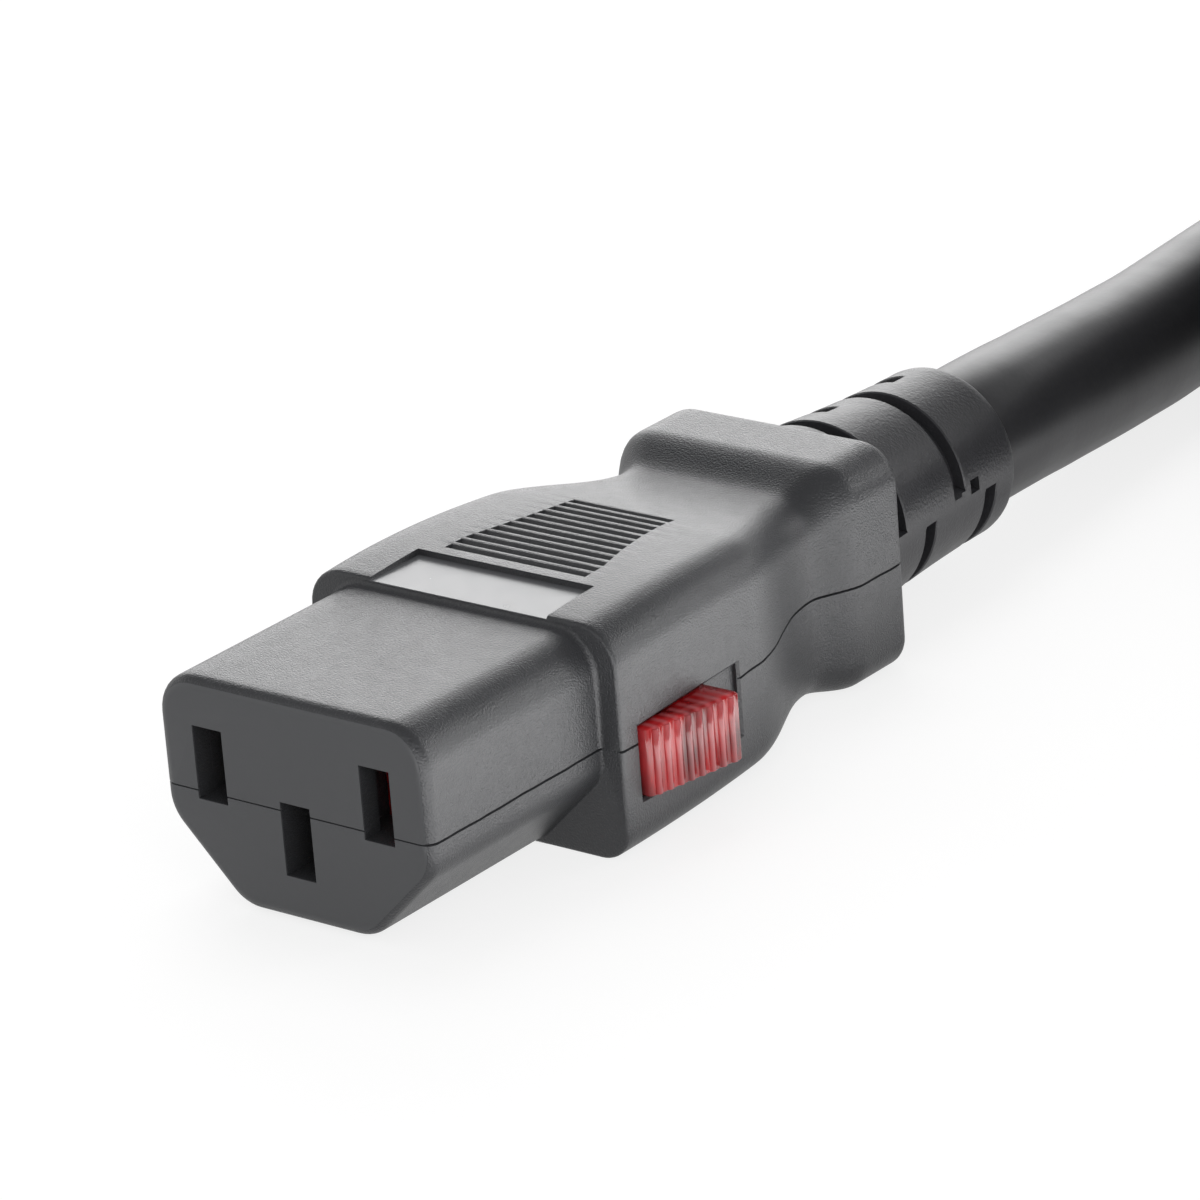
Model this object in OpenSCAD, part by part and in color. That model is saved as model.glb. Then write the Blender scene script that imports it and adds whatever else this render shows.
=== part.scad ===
// Locking C13 power connector on its lead: a two-shell housing with a keyed nose, three
// brass contacts, a sprung release slider and a pin lock on each side, a slotted strain
// relief, and the cord, wound up for storage, with the C14 plug on its far end.
// X runs across the connector, +Y from the mating face to the cord, +Z up.
// The parts are drawn about the contact axis and the parting plane, then stood on the
// surface that the housing rests on.

/* [Nose] */
// Length of the nose, from the mating face to the shoulder
nose_len = 17.8; // [17:0.1:18.6]
// Width of the nose
nose_w = 22.4; // [22:0.1:23.6]
// Top of the nose above the parting plane
nose_top = 7.95; // [7.7:0.05:8.2]
// Underside of the nose below the parting plane
nose_drop = 7.8; // [7.6:0.05:7.9]
// Leg of the two 45 degree keying chamfers
key_leg = 5.8; // [5:0.1:6.2]
// Radius of the upper corners of the nose
nose_top_r = 2.5; // [2:0.1:3]
// Radius where the keying chamfers meet the sides
nose_key_r = 1.6; // [1.2:0.1:2]
// Rounding round the edge of the mating face
face_round = 0.9; // [0.6:0.1:1.1]

/* [Housing] */
// Length of the housing, mating face to rear face
housing_len = 54.4; // [53.6:0.1:56]
// Width across the shoulder
shoulder_w = 25.8; // [25.6:0.1:26.6]
// Width across the waist in front of the rear block
waist_w = 17; // [16.6:0.1:18]
// Width of the rear block
block_w = 20; // [19.6:0.1:21]
// Crown of the top above the parting plane
crown_top = 8.93; // [8.8:0.01:9.2]
// Top of the waist above the parting plane
waist_top = 7.2; // [7:0.1:7.6]
// Top of the rear block above the parting plane
block_top = 8.7; // [8.5:0.1:9]
// Underside of the housing below the parting plane
base_drop = 8; // [7.9:0.05:8.4]
// Radius along the upper edges
top_edge_r = 2.9; // [2.4:0.1:3.2]
// Radius along the lower edges
base_edge_r = 2.4; // [2:0.1:2.8]
// Bevel on each shell's rim that shows as the parting line
rim_bevel = 0.12; // [0.08:0.02:0.2]

/* [Pins and contacts] */
// Spacing of the line and neutral pins
pin_pitch = 14; // [14:0.1:14.2]
// Height of the line and neutral pins above the earth pin
earth_offset = 4; // [4:0.1:4.2]
// Width of each pin slot
slot_w = 2.5; // [2.3:0.1:2.6]
// Height of each pin slot
slot_h = 5.2; // [5:0.1:5.3]
// Depth of the pin slots in front of the contacts
slot_depth = 5.1; // [5:0.1:5.4]
// Thickness of the face wall beside the lock arms
face_wall = 1.6; // [1.4:0.1:2]
// Outer width of a contact's box
contact_w = 2.9; // [2.7:0.1:3]
// Outer height of a contact's box
contact_h = 5.3; // [5.2:0.1:5.4]
// Sheet thickness of the contacts
contact_t = 0.4; // [0.3:0.05:0.45]
// Length of a contact's box
contact_len = 12.8; // [12.4:0.1:13]
// Outer diameter of the crimp barrels
barrel_d = 3; // [2.8:0.1:3]
// Length of the crimp barrels
barrel_len = 5; // [4.6:0.1:5.2]

/* [Release sliders] */
// Travel of a release slider
slider_travel = 3.5; // [3:0.1:3.5]
// Length of the finger pad
pad_len = 8.1; // [7.9:0.1:8.2]
// Height of the finger pad
pad_h = 4.9; // [4.6:0.1:5]
// Height of the pad's top above the parting plane
pad_top = 1; // [0.9:0.05:1]
// Reach of the pad's outer face from the centre, at its front
pad_reach_front = 13.45; // [13.2:0.05:13.8]
// Reach of the pad's outer face from the centre, at its rear
pad_reach_rear = 15; // [14.6:0.1:15.4]
// Number of ribs on a pad
pad_ribs = 8; // [6:1:8]
// Outer diameter of the return springs
spring_d = 3; // [2.8:0.1:3.1]
// Wire diameter of the return springs
spring_wire = 0.4; // [0.3:0.05:0.5]
// Turns of a return spring
spring_turns = 7; // [6:1:8]
// Angle that a lock grip swings off its pin
grip_swing = 10; // [8:0.5:10]
// Diameter of the grips' pivot pins
pivot_d = 0.8; // [0.7:0.05:0.85]

/* [Top] */
// Width of the recessed panel
panel_w = 14.9; // [13:0.1:15.2]
// Length of the recessed panel, from the shoulder
panel_len = 5.2; // [4.8:0.1:5.3]
// Number of grip grooves
groove_count = 12; // [8:1:12]
// Spacing of the grip grooves
groove_pitch = 1.036; // [0.95:0.01:1.04]
// Length of the front groove
groove_front_w = 12.8; // [12:0.1:13.4]
// Length of the rear groove
groove_rear_w = 8.6; // [8:0.1:9]
// Width of a groove
groove_w = 0.56; // [0.4:0.02:0.6]

/* [Strain relief and cord] */
// Diameter of the cord
cord_d = 10.86; // [10.4:0.02:10.9]
// Diameter of an insulated core
core_d = 3; // [2.8:0.1:3.1]
// Length of the strain relief behind the housing
relief_len = 19.2; // [18.6:0.1:20]
// Diameter of the strain relief at the housing
relief_front_d = 15.4; // [15:0.1:15.6]
// Diameter of the strain relief at the cord
relief_rear_d = 13.2; // [13:0.1:13.8]
// Width of the strain relief's slots
relief_slot_w = 1.4; // [1.1:0.1:1.5]
// Centre of the first slot behind the housing
relief_slot_first = 3.5; // [3.2:0.1:3.8]
// Spacing of the strain relief's slots
relief_slot_pitch = 4.05; // [3.8:0.05:4.15]
// Length of the cord, from the strain relief to the far plug
cord_len = 1500; // [1450:10:1560]

/* [Far plug] */
// Width of the plug's shroud
plug_w = 27.8; // [27.6:0.1:28.4]
// Height of the plug's shroud
plug_h = 19.8; // [19.6:0.1:20.4]
// Wall of the plug's shroud
plug_wall = 1.6; // [1.4:0.05:1.8]
// Depth of the plug's cavity
plug_depth = 16.6; // [16:0.1:17]
// Length of the plug, mouth to cord
plug_len = 58; // [57:0.5:60]

/* [Hidden] */
fit = 0.1;                 // clearance all round between pieces that only sit together
run_fit = 0.05;            // clearance of what slides or turns
eps = 0.01;
arc_steps = 5;             // steps along a rounded edge of the lofted housing

line_z = earth_offset / 2;
earth_z = -earth_offset / 2;
pin_x = pin_pitch / 2;

// Housing stations
crown_y = nose_len + 8.2;
hip_y = nose_len + 16.4;
waist_y = housing_len - 9.2;
block_y = housing_len - 5.2;
shoulder_bow = 0.0034;
crown_bow = 0.0044;
shoulder_edge = 0.25;
nose_root_r = 0.4;
block_edge = 0.9;

// Contacts
contact_y = slot_depth + run_fit;
contact_end = contact_y + contact_len;
barrel_y = contact_end + 0.6;
barrel_end = barrel_y + barrel_len;
saddle_t = 1.2;
saddle_end = barrel_end + fit + saddle_t;

// Sliders, drawn for the +X side
arm_in = pin_x - contact_w / 2 - 1;          // inner face of the lock arm
arm_t = 0.7;
arm_out = arm_in + arm_t;
arm_z0 = line_z + 0.3;
arm_z1 = line_z + 2.4;
tip_y = slot_depth - 1.1;
tip_len = 0.7;
tip_low = -1.9;
bridge_y = contact_end + 0.45;
bridge_len = 2.6;
bridge_z0 = -3.6;
bridge_z1 = -0.3;
plate_t = 0.9;
floor_x = shoulder_w / 2 - 1.1;              // floor of the pad's recess
floor_wall = 0.8;
plate_out = floor_x - floor_wall - fit;
plate_in = plate_out - plate_t;
plate_len = 8.4;
plate_z0 = pad_top - pad_h - 0.5;
plate_z1 = pad_top + 0.4;
pad_y = nose_len + 2.1;
pad_z0 = pad_top - pad_h;
neck_y = pad_y + 0.4;
neck_len = 3.6;
rib_r = 0.3;
rib_pitch = 0.94;
rib_first = 0.7;
spring_x = pin_x + 0.6;
spring_z = -2;
spring_front = bridge_y + bridge_len;
spring_len = 10;
spring_back = spring_front + spring_len;

// Lock grips, drawn for the +X side
pivot_x = arm_in + 0.2;
pivot_y = tip_y + tip_len + slider_travel + 1.1;
grip_boss = 0.7;
grip_z0 = 0.05;
grip_h = 1.9;
grip_ratio = grip_swing * PI / 180 / slider_travel;  // swing per millimetre of travel
lug_y = pivot_y + 0.8;
lug_len = 1;
lug_x = arm_in + 0.45;
lug_t = 0.4;
tooth_reach = 5.5;

// Cord end and strain relief
cord_r = cord_d / 2;
jacket_y = housing_len - 8.8;
relief_bore_r = cord_r + run_fit;
flange_r = cord_r + 1.6;
neck_r = cord_r + 0.8;
flange_y0 = housing_len - 5.6;
flange_y1 = housing_len - 2.4;
relief_end = housing_len + relief_len;
lay_r = core_d / 2 + 0.25;                   // centre of the cores from the cord's axis

// Route of the free cord, from the strain relief to the coil, about the contact axis
cord_route = [
    [0, 0, 0], [0, 2.4, 0], [-0.25, 6.4, -0.15], [-0.75, 10.4, -0.5], [-1.1, 13.4, -0.8],
    [-1.45, 16.4, -1.05], [-1.9, 20.4, -1.4], [-2.4, 24.4, -1.75], [-2.9, 28.4, -2.05],
    [-3.4, 32.4, -2.35], [-3.9, 36.4, -2.5], [-4.35, 40.4, -2.57], [-4.95, 48.4, -2.5],
    [-5.2, 56.4, -2.2], [-5.1, 66.4, -1.8], [-5, 76.4, -1.62]
];
lead_len = 76.4;
tail_len = 66;
tie_t = 0.8;
tie_gap = 0.15;
tie_span = 8;
lane = cord_d + 0.1;                         // spacing of neighbouring turns
coil_low = tie_t + tie_gap - base_drop;
coil_z = coil_low + cord_r;
coil_turns = 3.5;
coil_r = (cord_len - lead_len - tail_len) / (2 * PI * coil_turns);  // middle of the turns
coil_at = [coil_r + lane / 2 - 5, relief_end + lead_len, 0];

// Far plug
plug_at = [coil_at[0] + coil_r + lane / 2, coil_at[1] - tail_len - plug_len,
           plug_h / 2 - base_drop];
plug_r = 3;
blade_w = 4;
blade_t = 2;
insert_t = 5;

// ---- helpers ----

// Stands the connector on its underside, centred along its length
module stand() {
    translate([0, -relief_end / 2, base_drop]) children();
}

// A solid of revolution about the Y axis from an [r, y] outline
module turned(outline) {
    rotate([-90, 0, 0]) rotate_extrude($fn = 64) polygon(outline);
}

module rod(d, from, to, x = 0, z = 0) {
    translate([x, from, z]) rotate([-90, 0, 0]) cylinder(d = d, h = to - from, $fn = 48);
}

// A block given by its low and high corners
module block(low, high) {
    translate(low) cube(high - low);
}

function mix(a, b, t) = a + (b - a) * t;
function ease(a, b, t) = mix(a, b, (1 - cos(180 * min(1, max(0, t)))) / 2);

// Cubic from a value and slope at t = 0 to a value with no slope at t = 1
function settle(a, slope, b, t) =
    (2 * t ^ 3 - 3 * t ^ 2 + 1) * a + (t ^ 3 - 2 * t ^ 2 + t) * slope
    + (3 * t ^ 2 - 2 * t ^ 3) * b;

// Skins a list of equal outlines in XZ, each standing at its own y
module loft(sections, ys) {
    n = len(sections[0]);
    m = len(sections);
    points = [for (i = [0:m - 1]) for (p = sections[i]) [p[0], ys[i], p[1]]];
    sides = [
        for (i = [0:m - 2]) for (j = [0:n - 1]) let (k = (j + 1) % n)
            each [
                [i * n + j, i * n + k, (i + 1) * n + k],
                [i * n + j, (i + 1) * n + k, (i + 1) * n + j]
            ]
    ];
    front = [for (j = [n - 1:-1:0]) j];
    back = [for (j = [0:n - 1]) (m - 1) * n + j];
    polyhedron(points, concat([front], sides, [back]), convexity = 6);
}

function unit(v) = v / norm(v);

// Skins a round tube along a path
module tube(path, r, sides) {
    m = len(path);
    dirs = [for (i = [0:m - 1]) unit(path[min(m - 1, i + 1)] - path[max(0, i - 1)])];
    ring = [
        for (i = [0:m - 1])
            let (d = dirs[i], u = unit(cross(d, abs(d[2]) < 0.9 ? [0, 0, 1] : [1, 0, 0])),
                 v = cross(u, d))
                for (j = [0:sides - 1]) let (a = 360 * j / sides)
                    path[i] + r * (cos(a) * u + sin(a) * v)
    ];
    walls = [
        for (i = [0:m - 2]) for (j = [0:sides - 1]) let (k = (j + 1) % sides)
            each [
                [i * sides + j, i * sides + k, (i + 1) * sides + k],
                [i * sides + j, (i + 1) * sides + k, (i + 1) * sides + j]
            ]
    ];
    first = [for (j = [sides - 1:-1:0]) j];
    last = [for (j = [0:sides - 1]) (m - 1) * sides + j];
    polyhedron(ring, concat([first], walls, [last]), convexity = 8);
}

// ---- housing outline ----

// Half width of the housing behind the shoulder
function half_w(y) =
    y < hip_y ? shoulder_w / 2 - shoulder_bow * (y - nose_len) ^ 2
    : y < waist_y ? settle(shoulder_w / 2 - shoulder_bow * (hip_y - nose_len) ^ 2,
                           -2 * shoulder_bow * (hip_y - nose_len) * (waist_y - hip_y),
                           waist_w / 2, (y - hip_y) / (waist_y - hip_y))
    : ease(waist_w / 2, block_w / 2, (y - waist_y) / (block_y - waist_y));

// Height of the top above the parting plane
function top_z(y) =
    y < hip_y ? crown_top - crown_bow * (y - crown_y) ^ 2
    : y < waist_y ? settle(crown_top - crown_bow * (hip_y - crown_y) ^ 2,
                           -2 * crown_bow * (hip_y - crown_y) * (waist_y - hip_y),
                           waist_top, (y - hip_y) / (waist_y - hip_y))
    : ease(waist_top, block_top, (y - waist_y) / (block_y - waist_y));

// Depth of the underside below the parting plane, a little less at the waist
function base_z(y) =
    base_drop - (y < hip_y ? 0
                 : y < waist_y ? ease(0, 0.4, (y - hip_y) / (waist_y - hip_y))
                 : ease(0.4, 0, (y - waist_y) / (block_y - waist_y)));

function corner(cx, cz, r, a0, a1) =
    [for (s = [0:arc_steps]) let (a = mix(a0, a1, s / arc_steps))
        [cx + r * cos(a), cz + r * sin(a)]];

function mirrored(half) =
    concat(half, [for (i = [len(half) - 1:-1:0]) [-half[i][0], half[i][1]]]);

// Upper half of a section: half width w, height h, edge radius r, drawn in by i
function upper_section(w, h, r, i) =
    let (cut = rim_bevel)
    mirrored(concat([[w - i - cut, 0], [w - i, cut]],
                    corner(w - r, h - r, r - i, 0, 90)));

// Lower half, with corners of radius r round a 45 degree chamfer of the given leg,
// never reaching below the surface that the housing rests on
function lower_section(w, h, leg, r, i) =
    let (cut = rim_bevel, k = sqrt(2) - 1, low = 0.02 - base_drop)
    [for (p = mirrored(concat(corner(w - leg - r * k, r - h, r - i, -90, -45),
                              corner(w - r, leg + r * k - h, r - i, -45, 0),
                              [[w - i, -cut], [w - i - cut, 0]])))
        [p[0], h < base_drop ? max(p[1], low) : p[1]]];

face_angles = [90, 60, 36, 16, 0];
root_angles = [0, 30, 60, 90];
edge_angles = [90, 45, 0];
hip_front = hip_y - 0.8;
body_ys = concat(
    [for (s = [0:4]) mix(nose_len + 0.7, hip_front, s / 5)],
    [for (s = [0:9]) mix(hip_front, waist_y, s / 10)],
    [for (s = [0:6]) mix(waist_y, block_y, s / 7)],
    [for (s = [0:1]) mix(block_y, housing_len - block_edge, s / 2)]
);

// Each station is [y, kind, inset], where kind 0 is the nose and 1 the housing behind it
stations = concat(
    [for (a = face_angles) [face_round * (1 - sin(a)), 0, face_round * (1 - cos(a))]],
    [for (a = root_angles) [nose_len - nose_root_r * (1 - sin(a)), 0,
                            -nose_root_r * (1 - cos(a))]],
    [for (a = edge_angles) [nose_len + 0.02 + shoulder_edge * (1 - sin(a)), 1,
                            shoulder_edge * (1 - cos(a))]],
    [for (y = body_ys) [y, 1, 0]],
    [for (a = [30, 60, 90]) [housing_len - block_edge * (1 - sin(a)), 1,
                             block_edge * (1 - cos(a))]]
);
station_ys = [for (s = stations) s[0]];

module upper_form() {
    loft([for (s = stations)
             s[1] == 0 ? upper_section(nose_w / 2, nose_top, nose_top_r, s[2])
                       : upper_section(half_w(s[0]), top_z(s[0]), top_edge_r, s[2])],
         station_ys);
}

module lower_form() {
    soft = 2 - sqrt(2);
    loft([for (s = stations)
             s[1] == 0 ? lower_section(nose_w / 2, nose_drop, key_leg, nose_key_r, s[2])
                       : lower_section(half_w(s[0]), base_z(s[0]), base_edge_r * soft,
                                       base_edge_r, s[2])],
         station_ys);
}

// ---- room inside the housing, cut from both shells ----

// What one side needs, drawn for +X
module side_room() {
    half_slot = slot_h / 2;
    chamber = contact_w / 2 + fit;
    reach = slider_travel + fit;

    // Pin slot, the wider way behind the face wall, and the contact's chamber
    block([pin_x - slot_w / 2, -1, line_z - half_slot],
          [pin_x + slot_w / 2, face_wall + eps, line_z + half_slot]);
    block([arm_in - fit, face_wall, line_z - half_slot],
          [pin_x + slot_w / 2, slot_depth + eps, line_z + half_slot]);
    block([pin_x - chamber, slot_depth, line_z - contact_h / 2 - run_fit],
          [pin_x + chamber, barrel_end + fit, line_z + contact_h / 2 + run_fit]);
    rod(core_d + 2 * run_fit, barrel_end, saddle_end + 1, pin_x, line_z);

    // Way of the lock arm, its tip and its drop to the bridge
    block([arm_in - fit, tip_y - fit, tip_low - fit],
          [pin_x - chamber, tip_y + tip_len + reach, arm_z1 + fit]);
    block([arm_in - fit, tip_y, grip_z0 + grip_h + 0.15],
          [pin_x - chamber, bridge_y + bridge_len + reach, arm_z1 + fit]);
    block([arm_in - fit, bridge_y - fit, -0.1],
          [pin_x - chamber, bridge_y + bridge_len + reach + 0.2, arm_z1 + fit]);

    // Lock grip, its pin and the lug that swings it
    block([pivot_x - 1.55, tip_y + tip_len + reach - 0.1, 0],
          [pin_x - chamber + 0.05, pivot_y + 6.3, grip_z0 + grip_h + 0.15]);
    translate([pivot_x, pivot_y, -2.3])
        cylinder(d = pivot_d + 0.02, h = 2.4, $fn = 32);

    // Bridge, plate, neck and spring
    block([arm_in - 0.15, bridge_y - 0.2, bridge_z0 - 0.2],
          [plate_out + fit, spring_front + reach + 0.2, 0.1]);
    block([plate_in - fit, bridge_y - fit, plate_z0 - fit],
          [plate_out + fit, bridge_y + plate_len + reach, plate_z1 + fit]);
    block([plate_out, neck_y - fit, pad_z0 + 0.6],
          [floor_x + 0.5, neck_y + neck_len + reach, pad_top - 0.5]);
    rod(spring_d + 0.4, spring_front, spring_back + fit, spring_x, spring_z);
    block([spring_x - spring_d / 2 - 0.2, spring_front, spring_z],
          [spring_x + spring_d / 2 + 0.2, spring_back + fit, 0.1]);

    // Recess that the pad slides in
    block([floor_x, pad_y - fit, pad_z0 - fit],
          [floor_x + 5, pad_y + pad_len + reach, pad_top + fit]);
}

module room() {
    half_slot = slot_h / 2;
    chamber = contact_w / 2 + fit;

    side_room();
    mirror([1, 0, 0]) side_room();

    // Earth slot and chamber
    block([-slot_w / 2, -1, earth_z - half_slot],
          [slot_w / 2, slot_depth + eps, earth_z + half_slot]);
    block([-chamber, slot_depth, earth_z - contact_h / 2 - run_fit],
          [chamber, barrel_end + fit, earth_z + contact_h / 2 + run_fit]);
    rod(core_d + 2 * run_fit, barrel_end, saddle_end + 1, 0, earth_z);

    // Where the cores spread out
    translate([0, 0, -0.1]) linear_extrude(4.9)
        polygon([[-8.8, saddle_end], [8.8, saddle_end], [8.8, 30], [5.2, 42],
                 [5.2, jacket_y + 0.1], [-5.2, jacket_y + 0.1], [-5.2, 42], [-8.8, 30]]);
    block([-3.6, saddle_end, -4.2], [3.6, 33, 0.1]);
    block([-5.2, 32.6, -4.2], [5.2, jacket_y + 0.1, 0.1]);

    // Saddle for the jacket, then the strain relief's flange and neck
    rod(2 * cord_r + 0.04, jacket_y - fit, flange_y0, 0, 0);
    rod(2 * (flange_r + run_fit), flange_y0 - fit, flange_y1 + fit, 0, 0);
    rod(2 * (neck_r + run_fit), flange_y1, housing_len + 1, 0, 0);
}

// Where the shells are pinned together, as [x, y, radius], drawn for +X
posts = [[2.95, contact_end - 0.75, 0.9], [9, hip_y + 0.3, 1.1],
         [8.6, housing_len - 3.9, 0.8]];

module both_sides() {
    children();
    mirror([1, 0, 0]) children();
}

groove_first = nose_len + panel_len + 1.38;

module upper_shell() color([0.22, 0.22, 0.23]) stand() difference() {
    upper_form();
    room();
    both_sides() for (p = posts)
        translate([p[0], p[1], -1]) cylinder(r = p[2] + 0.1, h = 3.2, $fn = 32);
    // Panel at the front of the top
    block([-panel_w / 2, nose_len - 0.6, crown_top - 0.48],
          [panel_w / 2, nose_len + panel_len, crown_top + 2]);
    // Grip grooves, shorter towards the cord
    for (i = [0:groove_count - 1]) {
        y = groove_first + groove_pitch * i;
        w = groove_rear_w
            + (groove_front_w - groove_rear_w) * (1 - i / (groove_count - 1)) ^ 1.75;
        translate([-w / 2, y, top_z(y) + 0.06]) rotate([0, 90, 0])
            cylinder(d = groove_w + 0.1, h = w, $fn = 24);
    }
}

module lower_shell() color([0.19, 0.19, 0.2]) stand() union() {
    difference() {
        lower_form();
        room();
    }
    both_sides() for (p = posts)
        translate([p[0], p[1], -0.6]) cylinder(r = p[2], h = 2.6, $fn = 32);
}

// ---- contacts ----

// A brass contact about its own axis: slit box, strip and crimp barrel
module contact() {
    w = contact_w / 2;
    h = contact_h / 2;
    union() {
        difference() {
            block([-w, contact_y, -h], [w, contact_end, h]);
            block([contact_t - w, contact_y - 1, contact_t - h],
                  [w - contact_t, contact_end + 1, h - contact_t]);
            // Slits that free the spring leaves
            for (z = [-1.35, 1.05]) block([-w - 1, contact_y - 1, z],
                                          [w + 1, contact_y + 6.4, z + 0.3]);
            block([-0.12, contact_y - 1, h - 1], [0.12, contact_end + 1, h + 1]);
        }
        block([w - contact_t, contact_end - 0.3, -0.8], [w, barrel_y + 0.8, 0.8]);
        difference() {
            rod(barrel_d, barrel_y, barrel_end, 0, 0);
            rod(barrel_d - 0.84, barrel_y - 1, barrel_end + 1, 0, 0);
        }
    }
}

// The line and neutral contacts have a window where the lock grip reaches the pin
module windowed_contact() difference() {
    translate([pin_x, 0, line_z]) contact();
    block([pin_x - contact_w, pivot_y + 4, 0], [pin_x - 0.6, pivot_y + 6.2, 2.1]);
}

brass = [0.83, 0.68, 0.36];
module line_contact() color(brass) stand() windowed_contact();
module neutral_contact() color(brass) stand() mirror([1, 0, 0]) windowed_contact();
module earth_contact() color(brass) stand() translate([0, 0, earth_z]) contact();

// ---- cores ----

// One core, from its stripped end in a barrel at [x, z] to [to_x, to_z] in the cord
module core(x, z, to_x, to_z) {
    y0 = barrel_end + 0.05;
    y1 = jacket_y + 1.95;
    steps = 16;
    path = concat(
        [[x, y0, z]],
        [for (i = [0:steps]) let (t = i / steps)
            [ease(x, to_x, t), mix(y0 + 1.9, y1 - 3.6, t), ease(z, to_z, t)]],
        [[to_x, y1, to_z]]
    );
    union() {
        tube(path, core_d / 2, 16);
        rod(barrel_d - 0.9, barrel_y + 0.4, y0 + 1, x, z);
    }
}

module line_core() color([0.12, 0.12, 0.12]) stand()
    core(pin_x, line_z, lay_r * cos(30), lay_r / 2);
module neutral_core() color([0.9, 0.9, 0.88]) stand()
    core(-pin_x, line_z, -lay_r * cos(30), lay_r / 2);
module earth_core() color([0.1, 0.5, 0.25]) stand()
    core(0, earth_z, 0, -lay_r);

// ---- release sliders and locks ----

function pad_face(y) = mix(pad_reach_front, pad_reach_rear, (y - pad_y) / pad_len);

// A slider on the +X side
module slider() union() {
    // Lock arm, its tip and the lug over the grip
    block([arm_in, tip_y, arm_z0], [arm_out, bridge_y + bridge_len, arm_z1]);
    block([arm_in, tip_y, tip_low], [arm_out, tip_y + tip_len, arm_z1]);
    block([lug_x, lug_y, 0.2], [lug_x + lug_t, lug_y + lug_len, arm_z0 + 0.6]);
    // Drop, bridge and plate
    block([arm_in, bridge_y, bridge_z0], [arm_out, bridge_y + bridge_len, arm_z1]);
    block([arm_in, bridge_y, bridge_z0], [plate_out, bridge_y + bridge_len, bridge_z1]);
    block([plate_in, bridge_y, plate_z0], [plate_out, bridge_y + plate_len, plate_z1]);
    rod(1.8, spring_front - 0.5, spring_front + 2, spring_x, spring_z);
    // Neck and pad
    block([plate_out - 0.2, neck_y, pad_z0 + 0.7],
          [floor_x + 0.6, neck_y + neck_len, pad_top - 0.6]);
    translate([0, 0, pad_z0]) linear_extrude(pad_h)
        polygon([[floor_x + run_fit, pad_y], [pad_face(pad_y) - 0.25, pad_y],
                 [pad_face(pad_y + 0.25), pad_y + 0.25],
                 [pad_face(pad_y + pad_len - 0.4), pad_y + pad_len - 0.4],
                 [pad_face(pad_y + pad_len) - 0.45, pad_y + pad_len],
                 [floor_x + run_fit, pad_y + pad_len]]);
    for (i = [0:pad_ribs - 1]) {
        y = pad_y + rib_first + rib_pitch * i;
        translate([pad_face(y) - 0.08, y, pad_z0 + 0.1])
            cylinder(r = rib_r, h = pad_h - 0.2, $fn = 24);
    }
}

red = [0.75, 0.07, 0.08];
module right_release_slider() color(red) stand() slider();
module left_release_slider() color(red) stand() mirror([1, 0, 0]) slider();

module slider_spring() {
    r = (spring_d - spring_wire) / 2;
    steps = 12 * spring_turns;
    y0 = spring_front + spring_wire / 2;
    y1 = spring_back - spring_wire / 2;
    tube([for (i = [0:steps])
             [spring_x + r * cos(30 * i), mix(y0, y1, i / steps),
              spring_z + r * sin(30 * i)]],
         spring_wire / 2, 5);
}

steel = [0.7, 0.71, 0.73];
module right_slider_spring() color(steel) stand() slider_spring();
module left_slider_spring() color(steel) stand() mirror([1, 0, 0]) slider_spring();

// A grip turns on its pin as the lug runs along its cam edge, and its tooth leaves the
// pin of the mating inlet
module lock_grip() {
    lift = 180 / PI;
    cam_x = lug_x - run_fit;
    difference() {
        translate([pivot_x, pivot_y, grip_z0]) linear_extrude(grip_h) union() {
            circle(r = grip_boss, $fn = 32);
            polygon(concat(
                [[-0.3, 0]],
                [for (d = [0.6, 1.8, 2.4, 3, 3.6, 4.2, 4.8, tooth_reach])
                    [cam_x - pivot_x + d * grip_ratio * max(0, d - 1.8), d]],
                [[cam_x - pivot_x + 0.35, tooth_reach + 0.4], [-0.3, tooth_reach + 0.4]]
            ));
        }
        translate([pivot_x, pivot_y, -1])
            cylinder(d = pivot_d + 2 * run_fit, h = 5, $fn = 32);
    }
}

module grip_pin() translate([pivot_x, pivot_y, -2.25])
    cylinder(d = pivot_d, h = 2.25 + grip_z0 + grip_h + 0.08, $fn = 32);

module right_lock_grip() color(steel) stand() lock_grip();
module left_lock_grip() color(steel) stand() mirror([1, 0, 0]) lock_grip();
module right_grip_pin() color(steel) stand() grip_pin();
module left_grip_pin() color(steel) stand() mirror([1, 0, 0]) grip_pin();

// ---- strain relief and cord ----

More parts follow.
